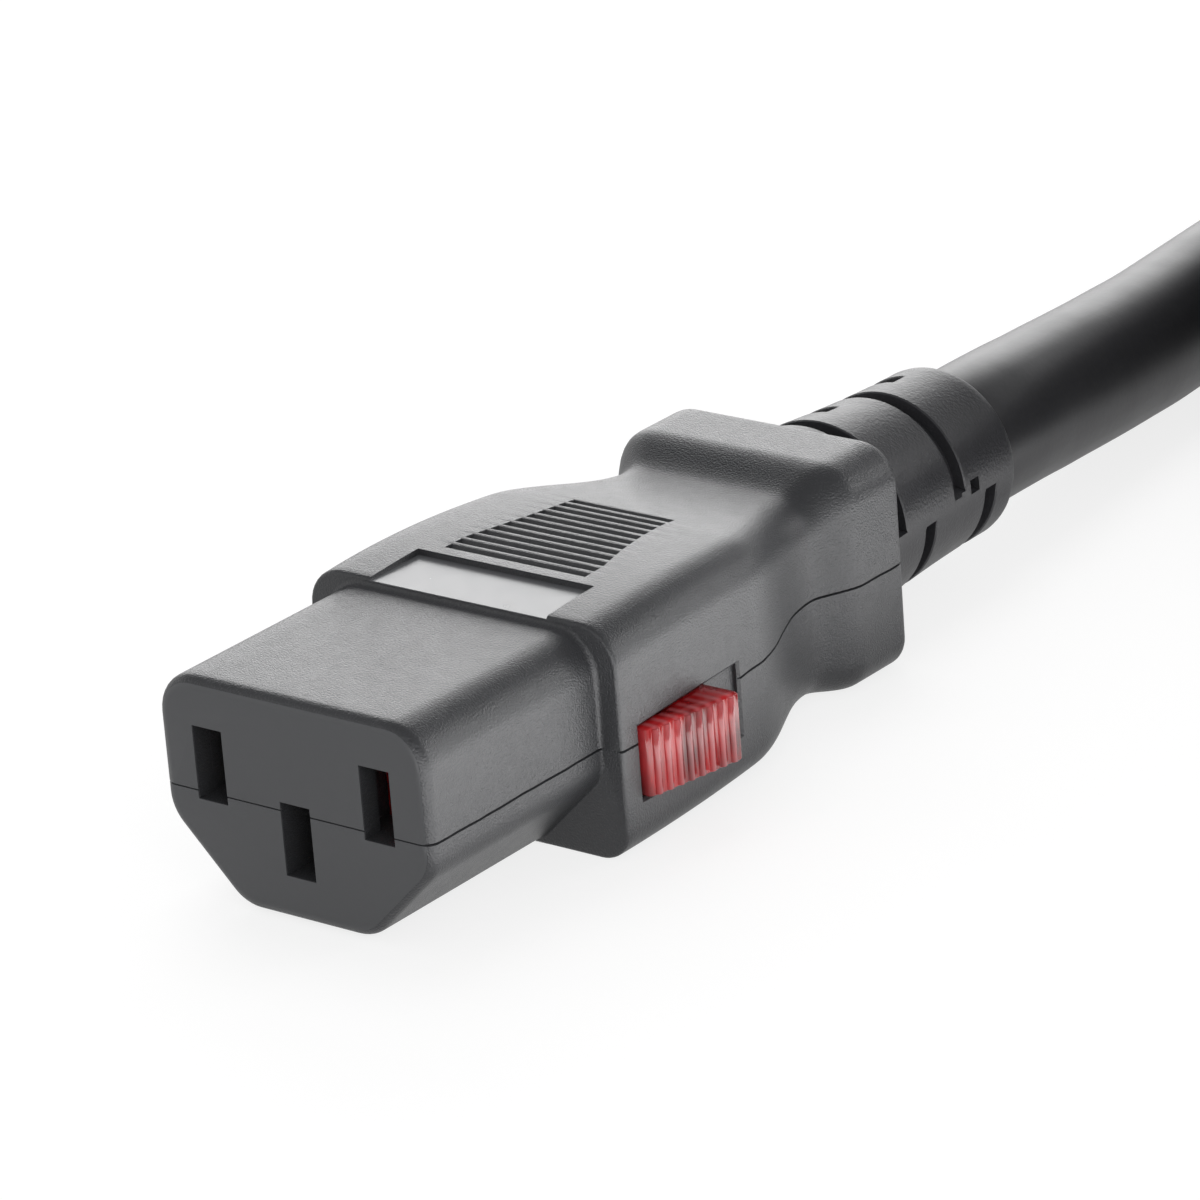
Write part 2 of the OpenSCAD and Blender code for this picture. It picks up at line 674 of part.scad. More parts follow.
module strain_relief() color([0.16, 0.16, 0.17]) stand() {
    rf = relief_front_d / 2;
    rr = relief_rear_d / 2;
    drop = rf - rr;
    end_r = 0.85;
    h = housing_len;
    difference() {
        turned(concat(
            [[relief_bore_r, flange_y0], [flange_r, flange_y0], [flange_r, flange_y1],
             [neck_r, flange_y1], [neck_r, h + 0.06], [rf - 0.25, h + 0.06],
             [rf, h + 0.4]],
            [for (t = [0.12, 0.26, 0.42, 0.6, 0.8])
                [rf - drop * (1 - (1 - t) ^ 1.8), h + t * (relief_len - end_r)]],
            [for (a = [0, 30, 60, 90])
                [rr - end_r * (1 - cos(a)), relief_end - end_r * (1 - sin(a))]],
            [[relief_bore_r, relief_end]]
        ));
        for (i = [0:3]) {
            y = h + relief_slot_first + relief_slot_pitch * i;
            y0 = y - relief_slot_w / 2;
            y1 = y + relief_slot_w / 2;
            difference() {
                rod(30, y0, y1);
                rod(cord_d + 0.7, y0 - 1, y1 + 1);
                // The first and third slots open upwards, the others leave a web there
                if (i % 2 == 0) block([-20, y0 - 1, -20], [20, y1 + 1, 0.4]);
                else block([-1, y0 - 1, -0.5], [20, y1 + 1, 20]);
            }
        }
        block([cord_r + 0.35, h + 13, -0.1], [20, h + 14.1, 0.7]);
    }
}

jacket = [0.07, 0.07, 0.07];
module cord_jacket_end() color(jacket) stand() difference() {
    rod(cord_d, jacket_y, relief_end);
    rod(2 * (lay_r + core_d / 2 + run_fit), jacket_y - 1, jacket_y + 2);
}

module cord() color(jacket) stand()
    translate([0, relief_end, 0]) tube(cord_route, cord_r, 12);

// The outer shape of the coil, two turns wide and two high
module cord_coil() color(jacket) stand() translate(coil_at) rotate_extrude($fn = 96)
    for (x = [coil_r - lane / 2, coil_r + lane / 2]) {
        translate([x, coil_z]) circle(r = cord_r, $fn = 48);
        translate([x, coil_z + lane]) circle(r = cord_r, $fn = 48);
        translate([x - cord_r, coil_z]) square([cord_d, lane]);
        translate([coil_r - lane / 2, coil_low]) square([lane, lane + cord_d]);
    }

module tie(a) {
    in_r = coil_r - lane / 2 - cord_r - tie_gap;
    out_r = coil_r + lane / 2 + cord_r + tie_gap;
    low = -base_drop + tie_t;
    top = coil_low + lane + cord_d + tie_gap;
    translate(coil_at) rotate([0, 0, a]) difference() {
        block([in_r - tie_t, -tie_span / 2, low - tie_t],
              [out_r + tie_t, tie_span / 2, top + tie_t]);
        block([in_r, -tie_span, low], [out_r, tie_span, top]);
    }
}

module front_cord_tie() color([0.1, 0.1, 0.1]) stand() tie(45);
module rear_cord_tie() color([0.1, 0.1, 0.1]) stand() tie(135);

module cord_tail() color(jacket) stand() {
    top = coil_z + lane;
    fall = top - plug_at[2];
    translate([coil_at[0] + coil_r + lane / 2, coil_at[1], 0])
        tube([for (i = [0:16]) let (d = tail_len * i / 16)
                 [0, -d, top - ease(0, fall, (d - 16) / (tail_len - 18))]],
             cord_r, 12);
}

// ---- far plug, drawn about its pins' axis with its mouth at y = 0 ----

module plug_stand() stand() translate(plug_at) children();

// Keyed outline, width w and height h, with its two lower corners cut off by a leg
module keyed_outline(w, h, r, leg) {
    x = w / 2;
    z = h / 2;
    difference() {
        union() {
            translate([-x + r, -z]) square([w - 2 * r, h]);
            translate([-x, -z]) square([w, h - r]);
            for (s = [-1, 1]) translate([s * (x - r), z - r]) circle(r = r, $fn = 32);
        }
        for (s = [-1, 1])
            polygon([[s * (x - leg), -z - 1], [s * (x - leg), -z], [s * x, leg - z],
                     [s * (x + 1), leg - z], [s * (x + 1), -z - 1]]);
    }
}

// Raises an outline in XZ along +Y
module along(from, to) translate([0, to, 0]) rotate([90, 0, 0])
    linear_extrude(to - from) children();

body_front = plug_depth + insert_t + 1.5;
body_back = plug_len - 18;

module plug_body() color([0.1, 0.1, 0.1]) plug_stand() difference() {
    union() {
        along(0, body_front) keyed_outline(plug_w, plug_h, plug_r, 3.4);
        loft([for (s = [0:6])
                 let (t = s / 6, w = ease(plug_w / 2 - 0.6, 9.2, t),
                      h = ease(plug_h / 2, 8.6, t), r = mix(3.4, 5, t))
                 concat(corner(w - r, h - r, r, 0, 90), corner(r - w, h - r, r, 90, 180),
                        corner(r - w, r - h, r, 180, 270), corner(w - r, r - h, r, 270, 360))],
             [for (s = [0:6]) mix(body_front - 0.5, body_back, s / 6)]);
        turned([[0, body_back - 1], [8.2, body_back - 1], [7.8, body_back + 3],
                [7, body_back + 11], [6.8, plug_len - 0.6], [6.3, plug_len],
                [0, plug_len]]);
    }
    along(-1, plug_depth)
        keyed_outline(plug_w - 2 * plug_wall, plug_h - 2 * plug_wall, 2.4, 5.4);
    block([-10.05, plug_depth - 1, -4.95], [10.05, plug_depth + insert_t + 0.05, 4.95]);
    for (i = [0:3]) {
        y = body_back + 3.4 + 3.4 * i;
        difference() {
            rod(30, y, y + 1.2);
            rod(cord_d + 0.8, y - 1, y + 3);
            if (i % 2 == 0) block([-20, y - 1, -20], [20, y + 3, 0.5]);
            else block([-20, y - 1, -0.5], [20, y + 3, 20]);
        }
    }
    // The three blades' tails and the end of the cord
    for (p = [[pin_x, line_z], [-pin_x, line_z], [0, earth_z]])
        block([p[0] - blade_t / 2 - 0.02, plug_depth, p[1] - blade_w / 2 - 0.02],
              [p[0] + blade_t / 2 + 0.02, plug_depth + 12.05, p[1] + blade_w / 2 + 0.02]);
}

module plug_insert() color([0.13, 0.13, 0.13]) plug_stand() difference() {
    block([-10, plug_depth, -4.9], [10, plug_depth + insert_t, 4.9]);
    for (p = [[pin_x, line_z], [-pin_x, line_z], [0, earth_z]])
        block([p[0] - blade_t / 2 - 0.02, plug_depth - 1, p[1] - blade_w / 2 - 0.02],
              [p[0] + blade_t / 2 + 0.02, plug_depth + 12, p[1] + blade_w / 2 + 0.02]);
}

// A blade with its tip eased on all four sides, from the given setback behind the mouth
module blade(x, z, setback) plug_stand() translate([x, 0, z]) {
    w = blade_w / 2;
    t = blade_t / 2;
    e = 0.5;
    y0 = setback;
    y1 = plug_depth + 12;
    intersection() {
        translate([0, 0, -w]) linear_extrude(blade_w)
            polygon([[e - t, y0], [t - e, y0], [t, y0 + 1.2], [t, y1], [-t, y1],
                     [-t, y0 + 1.2]]);
        translate([-t, 0, 0]) rotate([90, 0, 90]) linear_extrude(blade_t)
            polygon([[y0, e - w], [y0, w - e], [y0 + 1.2, w], [y1, w], [y1, -w],
                     [y0 + 1.2, -w]]);
    }
}

nickel = [0.8, 0.79, 0.76];
module plug_line_blade() color(nickel) blade(-pin_x, line_z, 2);
module plug_neutral_blade() color(nickel) blade(pin_x, line_z, 2);
module plug_earth_blade() color(nickel) blade(0, earth_z, 1);

upper_shell();
lower_shell();
line_contact();
neutral_contact();
earth_contact();
line_core();
neutral_core();
earth_core();
left_release_slider();
right_release_slider();
left_slider_spring();
right_slider_spring();
left_lock_grip();
right_lock_grip();
left_grip_pin();
right_grip_pin();
strain_relief();
cord_jacket_end();
cord();
cord_coil();
front_cord_tie();
rear_cord_tie();
cord_tail();
plug_body();
plug_insert();
plug_line_blade();
plug_neutral_blade();
plug_earth_blade();
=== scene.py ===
import math

import bmesh
import bpy
from mathutils import Matrix, Vector


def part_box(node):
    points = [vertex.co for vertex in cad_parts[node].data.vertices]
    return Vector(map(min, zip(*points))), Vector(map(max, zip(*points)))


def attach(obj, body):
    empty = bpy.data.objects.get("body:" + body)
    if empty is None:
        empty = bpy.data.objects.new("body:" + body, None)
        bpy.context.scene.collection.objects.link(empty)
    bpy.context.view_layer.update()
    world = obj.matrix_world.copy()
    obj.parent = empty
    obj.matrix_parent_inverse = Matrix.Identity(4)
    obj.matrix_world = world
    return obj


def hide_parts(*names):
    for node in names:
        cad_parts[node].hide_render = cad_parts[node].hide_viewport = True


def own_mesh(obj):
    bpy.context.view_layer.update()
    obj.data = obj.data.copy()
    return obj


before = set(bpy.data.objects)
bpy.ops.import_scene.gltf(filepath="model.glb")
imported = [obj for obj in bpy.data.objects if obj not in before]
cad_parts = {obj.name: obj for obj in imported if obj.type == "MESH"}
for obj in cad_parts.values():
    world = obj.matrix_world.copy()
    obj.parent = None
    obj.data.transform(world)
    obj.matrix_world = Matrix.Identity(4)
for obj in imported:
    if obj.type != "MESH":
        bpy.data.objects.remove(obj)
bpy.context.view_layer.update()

print("frame loaded:", len(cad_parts), "nodes")

# Lengths are in millimetres from the middle of the mating face, on the parting plane.
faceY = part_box("upper_shell")[0][1]
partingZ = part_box("upper_shell")[0][2]


def at(x, y, z):
    return (x / 1000, faceY + y / 1000, partingZ + z / 1000)


def mix(a, b, t):
    return a + (b - a) * t


def ease(a, b, t):
    return mix(a, b, (1 - math.cos(math.pi * min(1, max(0, t)))) / 2)


def steps(a, b, count):
    return [mix(a, b, i / count) for i in range(count + 1)]


view = {
    "azimuth": 39.03,
    "elevation": 21.63,
    "roll": -4.49,
    "lens": 184.6,
    "distance": 0.41393,
    "aim": at(2.19, 30.0, 4.41),
}


def makeCamera():
    az, el, roll = (math.radians(view[key]) for key in ("azimuth", "elevation", "roll"))
    back = Vector((math.sin(az) * math.cos(el), -math.cos(az) * math.cos(el), math.sin(el)))
    level = (-back).cross(Vector((0, 0, 1))).normalized()
    upright = level.cross(-back)
    right = math.cos(roll) * level + math.sin(roll) * upright
    up = math.cos(roll) * upright - math.sin(roll) * level
    data = bpy.data.cameras.new("camera")
    data.lens = view["lens"]
    data.sensor_width = 36
    data.clip_start = 0.01
    camera = bpy.data.objects.new("camera", data)
    turned = Matrix((right, up, back)).transposed().to_4x4()
    camera.matrix_world = Matrix.Translation(Vector(view["aim"]) + view["distance"] * back) @ turned
    bpy.context.scene.collection.objects.link(camera)
    bpy.context.scene.camera = camera


class Wire:
    # A socket that adds its own Math nodes when an expression uses it.
    def __init__(self, tree, out):
        self.tree = tree
        self.out = out

    def maths(self, operation, *values):
        node = self.tree.nodes.new("ShaderNodeMath")
        node.operation = operation
        for socket, value in zip(node.inputs, values):
            feed(self.tree, socket, value)
        return Wire(self.tree, node.outputs[0])

    def __add__(self, other):
        return self.maths("ADD", self, other)

    def __radd__(self, other):
        return self.maths("ADD", other, self)

    def __sub__(self, other):
        return self.maths("SUBTRACT", self, other)

    def __rsub__(self, other):
        return self.maths("SUBTRACT", other, self)

    def __mul__(self, other):
        return self.maths("MULTIPLY", self, other)

    def __rmul__(self, other):
        return self.maths("MULTIPLY", other, self)

    def __truediv__(self, other):
        return self.maths("DIVIDE", self, other)

    def __gt__(self, other):
        return self.maths("GREATER_THAN", self, other)

    def __lt__(self, other):
        return self.maths("LESS_THAN", self, other)

    def __abs__(self):
        return self.maths("ABSOLUTE", self)


def feed(tree, socket, value):
    if isinstance(value, Wire):
        tree.links.new(value.out, socket)
    else:
        socket.default_value = value


class Finish:
    # The nodes of one material, or of the world.
    def __init__(self, owner):
        owner.use_nodes = True
        self.owner = owner
        self.tree = owner.node_tree
        self.tree.nodes.clear()

    def node(self, kind, settings=None, inputs=None, output=0):
        made = self.tree.nodes.new(kind)
        for key, value in (settings or {}).items():
            if key == "stops":
                ramp = made.color_ramp
                for extra in range(len(value) - 2):
                    ramp.elements.new(0.5)
                for element, (place, colour) in zip(ramp.elements, value):
                    element.position = place
                    element.color = (*colour, 1)
            else:
                setattr(made, key, value)
        for key, value in (inputs or {}).items():
            feed(self.tree, made.inputs[key], value)
        return Wire(self.tree, made.outputs[output])

    def place(self):
        return self.node("ShaderNodeTexCoord", output="Object")

    def axes(self, vector):
        split = self.node("ShaderNodeSeparateXYZ", inputs={"Vector": vector})
        return [Wire(self.tree, out) for out in split.out.node.outputs]

    def noise(self, vector, scale, detail=2.0, roughness=0.5):
        return self.node("ShaderNodeTexNoise", inputs={
            "Vector": vector, "Scale": scale, "Detail": detail, "Roughness": roughness})

    def stretch(self, vector, scale):
        return self.node("ShaderNodeMapping", inputs={"Vector": vector, "Scale": scale})

    def maths(self, operation, *values):
        return Wire(self.tree, None).maths(operation, *values)

    def blend(self, factor, a, b):
        a, b = (value if isinstance(value, Wire) else (*value, 1) for value in (a, b))
        return self.node("ShaderNodeMix", {"data_type": "RGBA"}, {0: factor, 6: a, 7: b}, output=2)

    def ramp(self, factor, stops):
        return self.node("ShaderNodeValToRGB", {"stops": stops}, {"Fac": factor})

    def bump(self, height, distance, strength=1.0, normal=None):
        inputs = {"Height": height, "Distance": distance, "Strength": strength}
        if normal is not None:
            inputs["Normal"] = normal
        return self.node("ShaderNodeBump", inputs=inputs)

    def surface(self, inputs):
        self.end(self.node("ShaderNodeBsdfPrincipled", inputs=inputs))
        return self.owner

    def end(self, shader, kind="ShaderNodeOutputMaterial"):
        output = self.tree.nodes.new(kind)
        self.tree.links.new(shader.out, output.inputs["Surface"])


def newFinish(name):
    return Finish(bpy.data.materials.new(name))


studio = {
    "floor": (0.86, 0.86, 0.86),
    "ambient": 0.45,
    "backdrop": 1.0,
    "overhead": 0.14,
    "keyPower": 1.7,
    "keySize": 0.5,
    "backPower": 4.7,
    "sidePower": 4.0,
    "tableGlow": (0.7, 4.6),                              # on the left and the right, in reflections only
    "tableEdge": (0.015, 0.03),
    "fillPower": 1.0,
}


def makeWorld():
    world = bpy.data.worlds.new("studio")
    bpy.context.scene.world = world
    sky = Finish(world)
    x, y, z = sky.axes(sky.node("ShaderNodeTexCoord", output="Generated"))
    # A bright backdrop round the horizon, and a darker room above it for the highlights to fade into.
    glow = sky.ramp(z, [(0.0, (1, 1, 1)), (0.42, (1, 1, 1)), (0.55, (0.25, 0.25, 0.25)),
                        (1.0, (0.12, 0.12, 0.12))])
    rays = sky.node("ShaderNodeLightPath").out.node.outputs
    seen = Wire(sky.tree, rays["Is Camera Ray"])
    glossy = Wire(sky.tree, rays["Is Glossy Ray"])
    plain = sky.node("ShaderNodeBackground", inputs={"Color": (1, 1, 1, 1), "Strength": studio["ambient"]})
    mirrored = sky.node("ShaderNodeBackground", inputs={"Color": glow, "Strength": studio["backdrop"]})
    white = sky.node("ShaderNodeBackground", inputs={"Color": (1, 1, 1, 1), "Strength": 1.0})
    inner = sky.node("ShaderNodeMixShader", inputs={0: glossy, 1: plain, 2: mirrored})
    sky.end(sky.node("ShaderNodeMixShader", inputs={0: seen, 1: inner, 2: white}), "ShaderNodeOutputWorld")


def makeLamp(name, place, size, power, glossy=True):
    data = bpy.data.lights.new(name, "AREA")
    data.shape = "DISK"
    data.size = size
    data.energy = power
    lamp = bpy.data.objects.new(name, data)
    lamp.location = place
    lamp.rotation_euler = (Vector(place) - Vector(at(0, 30, 0))).to_track_quat("Z", "Y").to_euler()
    lamp.visible_glossy = glossy
    bpy.context.scene.collection.objects.link(lamp)
    return lamp


def makeStudio():
    makeWorld()
    makeLamp("key_lamp", (-0.25, 0.25, 0.8), studio["keySize"], studio["keyPower"], glossy=False)
    makeLamp("back_lamp", (-0.62, 0.77, 0.40), 0.8, studio["backPower"])
    makeLamp("side_lamp", (0.62, 0.86, 0.16), 0.5, studio["sidePower"])
    makeLamp("fill_lamp", (0.6, -0.5, 0.45), 0.5, studio["fillPower"], glossy=False)
    floor = meshPiece("floor", [(-4, -4, 0), (4, -4, 0), (4, 4, 0), (-4, 4, 0)], [(0, 1, 2, 3)])
    paint = newFinish("floor_paint")
    rays = paint.node("ShaderNodeLightPath").out.node.outputs
    matt = paint.node("ShaderNodeBsdfDiffuse", inputs={"Color": (*studio["floor"], 1)})
    glow = paint.node("ShaderNodeEmission", inputs={"Color": (1, 1, 1, 1), "Strength": 1.15})
    x, y, z = paint.axes(paint.place())
    low, high = studio["tableGlow"]
    lit = paint.node("ShaderNodeMapRange", inputs={
        "Value": x, "From Min": studio["tableEdge"][0], "From Max": studio["tableEdge"][1],
        "To Min": low, "To Max": high})
    table = paint.node("ShaderNodeEmission", inputs={"Color": (1, 1, 1, 1), "Strength": lit})
    seen = Wire(paint.tree, rays["Is Camera Ray"])
    glossy = Wire(paint.tree, rays["Is Glossy Ray"])
    plain = paint.node("ShaderNodeMixShader", inputs={0: seen * 0.7, 1: matt, 2: glow})
    paint.end(paint.node("ShaderNodeMixShader", inputs={0: glossy, 1: plain, 2: table}))
    floor.data.materials.append(paint.owner)


def meshPiece(name, points, faces):
    mesh = bpy.data.meshes.new(name)
    mesh.from_pydata([Vector(p) for p in points], [], faces)
    piece = bpy.data.objects.new(name, mesh)
    bpy.context.scene.collection.objects.link(piece)
    return piece


def ringSolid(name, rings):
    # Skins closed rings of equal length, in millimetres, and caps both ends.
    count = len(rings[0])
    points = [at(*p) for ring in rings for p in ring]
    faces = [(i * count + j, i * count + (j + 1) % count, (i + 1) * count + (j + 1) % count,
              (i + 1) * count + j)
             for i in range(len(rings) - 1) for j in range(count)]
    last = (len(rings) - 1) * count
    faces += [tuple(reversed(range(count))), tuple(range(last, last + count))]
    piece = meshPiece(name, points, faces)
    tidyNormals(piece)
    return piece


def tidyNormals(piece):
    work = bmesh.new()
    work.from_mesh(piece.data)
    bmesh.ops.remove_doubles(work, verts=work.verts, dist=1e-8)
    bmesh.ops.recalc_face_normals(work, faces=work.faces)
    work.to_mesh(piece.data)
    work.free()


def soften(piece, angle=34):
    piece.data.shade_smooth()
    piece.data.set_sharp_from_angle(angle=math.radians(angle))


def bake(piece):
    # Turns a piece and its modifiers into a plain mesh.
    graph = bpy.context.evaluated_depsgraph_get()
    graph.update()
    mesh = bpy.data.meshes.new_from_object(piece.evaluated_get(graph))
    piece.modifiers.clear()
    piece.data = mesh
    piece.data.name = piece.name


def combine(piece, other, operation):
    boolean = piece.modifiers.new("boolean", "BOOLEAN")
    boolean.operation = operation
    boolean.solver = "EXACT"
    boolean.use_self = True
    boolean.object = other
    bake(piece)
    bpy.data.objects.remove(other)


def bevelled(piece, width, segments, angle):
    bevel = piece.modifiers.new("bevel", "BEVEL")
    bevel.width = width / 1000
    bevel.segments = segments
    bevel.limit_method = "ANGLE"
    bevel.angle_limit = math.radians(angle)
    bake(piece)


def addBox(work, low, high, flip=1):
    corners = [work.verts.new(at(flip * x, y, z)) for x in (low[0], high[0])
               for y in (low[1], high[1]) for z in (low[2], high[2])]
    for ring in ((0, 1, 3, 2), (4, 6, 7, 5), (0, 4, 5, 1), (2, 3, 7, 6), (0, 2, 6, 4), (1, 5, 7, 3)):
        work.faces.new([corners[i] for i in ring])


def addRod(work, radius, y0, y1, x=0, z=0, sides=48):
    ends = [[work.verts.new(at(x + radius * math.cos(2 * math.pi * i / sides), y,
                               z + radius * math.sin(2 * math.pi * i / sides)))
             for i in range(sides)] for y in (y0, y1)]
    for i in range(sides):
        j = (i + 1) % sides
        work.faces.new((ends[0][i], ends[0][j], ends[1][j], ends[1][i]))
    work.faces.new(list(reversed(ends[0])))
    work.faces.new(ends[1])


def fromWork(name, work):
    bmesh.ops.recalc_face_normals(work, faces=work.faces)
    mesh = bpy.data.meshes.new(name)
    work.to_mesh(mesh)
    work.free()
    piece = bpy.data.objects.new(name, mesh)
    bpy.context.scene.collection.objects.link(piece)
    return piece


def dress(piece, finish, body, nodes=()):
    piece.data.materials.clear()
    piece.data.materials.append(finish)
    if nodes:
        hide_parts(*nodes)
    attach(piece, body)


def mouldedPlastic(name, colour, roughness, grain, depth, paintedSheenTone=None):
    # Spark-eroded grain on a satin moulding, with a plain face and label panel on the casing, coloured
    # lighter as a painted sheen.
    mat = newFinish(name)
    place = mat.place()
    x, y, z = mat.axes(place)
    coarse = mat.noise(place, 900, 2.0)
    fine = mat.noise(place, grain, 1.5, 0.6)
    shade = mat.noise(place, 160, 3.0)
    patchy = mat.blend(shade, tuple(c * 0.86 for c in colour), tuple(c * 1.14 for c in colour))
    tone = mat.blend((fine > 0.66) * 0.25, patchy, tuple(c * 1.8 for c in colour))
    relief = fine * 0.95 + coarse * 0.06
    rough = roughness + (coarse - 0.5) * 0.1
    if paintedSheenTone:
        face = y < faceY + 0.00012
        panel = ((y > faceY + 0.0177) * (y < faceY + 0.02301) * (abs(x) < 0.00746)
                 * (z > partingZ + 0.0084) * (z < partingZ + 0.00847))
        # Painted sheen: the plain face, and the label panel more so, get a lighter colour than the grained
        # casing.
        tone = mat.blend(face, tone, paintedSheenTone)
        tone = mat.blend(panel, tone, tuple(c * 1.3 for c in paintedSheenTone))
        relief = relief * (1 - face * 0.9) * (1 - panel * 0.95)
        rough = rough - panel * 0.12
    return mat.surface({"Base Color": tone, "Roughness": rough, "Normal": mat.bump(relief, depth)})


def glossJacket(name, colour, roughness):
    mat = newFinish(name)
    place = mat.place()
    ripple = mat.noise(place, 260, 2.0)
    fine = mat.noise(place, 2600, 2.0)
    tone = mat.blend(fine, tuple(c * 0.8 for c in colour), tuple(c * 1.25 for c in colour))
    normal = mat.bump(ripple * 0.7 + fine * 0.12, 0.00006)
    return mat.surface({"Base Color": tone, "Roughness": roughness + (ripple - 0.5) * 0.08,
                        "Normal": normal})


def brushedMetal(name, colour, roughness, scale):
    mat = newFinish(name)
    drawn = mat.noise(mat.stretch(mat.place(), scale), 900, 3.0)
    cloud = mat.noise(mat.place(), 420, 2.0)
    tone = mat.blend(cloud, tuple(c * 0.82 for c in colour), colour)
    return mat.surface({"Base Color": tone, "Metallic": 1.0,
                        "Roughness": roughness + (drawn - 0.5) * 0.22,
                        "Normal": mat.bump(drawn, 0.00001)})


def tintedPlastic(name, colour):
    # Clear red plastic, with a painted highlight: pale pink on the ribs, deep red between them.
    mat = newFinish(name)
    place = mat.place()
    x, y, z = mat.axes(place)
    swirl = mat.noise(mat.stretch(place, (0.6, 1.0, 0.35)), 420, 3.0)
    # Painted highlight: a mask along the rib pitch lays pale pink colour on each rib.
    wave = mat.maths("COSINE", (y - faceY - 0.0206) * (2 * math.pi / 0.00094)) * 0.5 + 0.5
    ribHighlight = (abs(x) > 0.01255) * mat.maths("POWER", wave, 1.6)
    body = mat.ramp(swirl, [(0.34, tuple(c * 0.22 for c in colour)), (0.5, colour),
                            (0.66, (min(1, colour[0] * 1.3), colour[1] * 2, colour[2] * 2))])
    tone = mat.blend(ribHighlight * (swirl * 0.6 + 0.35), body, (0.82, 0.2, 0.22))
    return mat.surface({"Base Color": tone, "Roughness": 0.14, "IOR": 1.49,
                        "Transmission Weight": 0.2, "Coat Weight": 0.15, "Coat Roughness": 0.05,
                        "Normal": mat.bump(swirl, 0.00002)})


def wovenStrap(name, colour):
    mat = newFinish(name)
    place = mat.place()
    across = mat.node("ShaderNodeTexWave", {"wave_type": "BANDS", "bands_direction": "Z"},
                      {"Vector": place, "Scale": 900.0, "Distortion": 1.5})
    loops = mat.noise(place, 5200, 2.0)
    tone = mat.blend(loops, tuple(c * 0.5 for c in colour), tuple(c * 1.6 for c in colour))
    return mat.surface({"Base Color": tone, "Roughness": 0.85,
                        "Normal": mat.bump(across * 0.4 + loops * 0.6, 0.0001)})


finishes = {
    # The shell's last colour is a painted sheen for its plain face and label panel.
    "shell": mouldedPlastic("shell_plastic", (0.048, 0.049, 0.053), 0.37, 7200, 0.00006,
                            (0.085, 0.087, 0.092)),
    "relief": mouldedPlastic("relief_plastic", (0.036, 0.036, 0.04), 0.42, 4200, 0.00004),
    "plug": mouldedPlastic("plug_plastic", (0.036, 0.036, 0.04), 0.42, 4800, 0.00004),
    "jacket": glossJacket("jacket_gloss", (0.03, 0.03, 0.033), 0.42),
    "coreBlack": glossJacket("core_black", (0.02, 0.02, 0.02), 0.35),
    "coreWhite": glossJacket("core_white", (0.75, 0.75, 0.72), 0.35),
    "coreGreen": glossJacket("core_green", (0.02, 0.25, 0.07), 0.35),
    "red": tintedPlastic("slider_red", (0.68, 0.012, 0.016)),
    "brass": brushedMetal("contact_brass", (0.8, 0.6, 0.28), 0.32, (1, 0.1, 1)),
    "steel": brushedMetal("spring_steel", (0.6, 0.6, 0.61), 0.3, (1, 0.15, 1)),
    "nickel": brushedMetal("blade_nickel", (0.74, 0.73, 0.7), 0.22, (1, 0.08, 1)),
    "strap": wovenStrap("tie_strap", (0.03, 0.03, 0.032)),
}
nodeFinishes = {
    "line_contact": "brass", "neutral_contact": "brass", "earth_contact": "brass",
    "line_core": "coreBlack", "neutral_core": "coreWhite", "earth_core": "coreGreen",
    "left_lock_grip": "steel", "right_lock_grip": "steel",
    "left_grip_pin": "steel", "right_grip_pin": "steel",
    "left_slider_spring": "steel", "right_slider_spring": "steel",
    "left_release_slider": "red", "right_release_slider": "red",
    "upper_shell": "shell", "lower_shell": "shell", "strain_relief": "relief",
    "cord_jacket_end": "jacket", "plug_body": "plug", "plug_insert": "plug",
    "front_cord_tie": "strap", "rear_cord_tie": "strap",
    "plug_line_blade": "nickel", "plug_neutral_blade": "nickel", "plug_earth_blade": "nickel",
}
for node, finish in nodeFinishes.items():
    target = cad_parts[node]
    target.data.materials.clear()
    target.data.materials.append(finishes[finish])
print("finishes ready:", len(finishes))

makeCamera()
makeStudio()

cordLine = {
    "diameter": 10.86,
    "start": 73.6,                                        # end of the strain relief
    "lead": [
        (0, 0, 0), (0, 2.4, 0), (-0.25, 6.4, -0.15), (-0.75, 10.4, -0.5), (-1.1, 13.4, -0.8),
        (-1.45, 16.4, -1.05), (-1.9, 20.4, -1.4), (-2.4, 24.4, -1.75), (-2.9, 28.4, -2.05),
        (-3.4, 32.4, -2.35), (-3.9, 36.4, -2.5), (-4.35, 40.4, -2.57), (-4.95, 48.4, -2.5),
        (-5.2, 56.4, -2.2), (-5.1, 66.4, -1.8), (-5, 76.4, -1.62)],
    "turns": 3.5,
    "pointsPerTurn": 48,
    "free": 1500,                                         # strain relief to plug
    "tail": 66,
    "level": 16,                                          # of the tail, before it comes down
    "gap": 0.1,
    "lift": 0.95,                                         # the straps under the coil
}


def smoothLine(points, divisions):
    # Points through the given ones, along a Catmull-Rom curve.
    ends = [2 * points[0] - points[1]] + points + [2 * points[-1] - points[-2]]
    line = []
    for a, b, c, d in zip(ends, ends[1:], ends[2:], ends[3:]):
        for i in range(divisions):
            t = i / divisions
            line.append(0.5 * ((2 * b) + (c - a) * t + (2 * a - 5 * b + 4 * c - d) * t ** 2
                               + (3 * b - a - 3 * c + d) * t ** 3))
    return line + [points[-1]]


def coilSizes():
    lead = cordLine["lead"][-1][1]
    lane = cordLine["diameter"] + cordLine["gap"]
    radius = (cordLine["free"] - lead - cordLine["tail"]) / (2 * math.pi * cordLine["turns"])
    low = cordLine["lift"] - partingZ * 1000 + cordLine["diameter"] / 2
    centre = Vector((radius + lane / 2 + cordLine["lead"][-1][0], cordLine["start"] + lead, 0))
    return lane, radius, low, centre


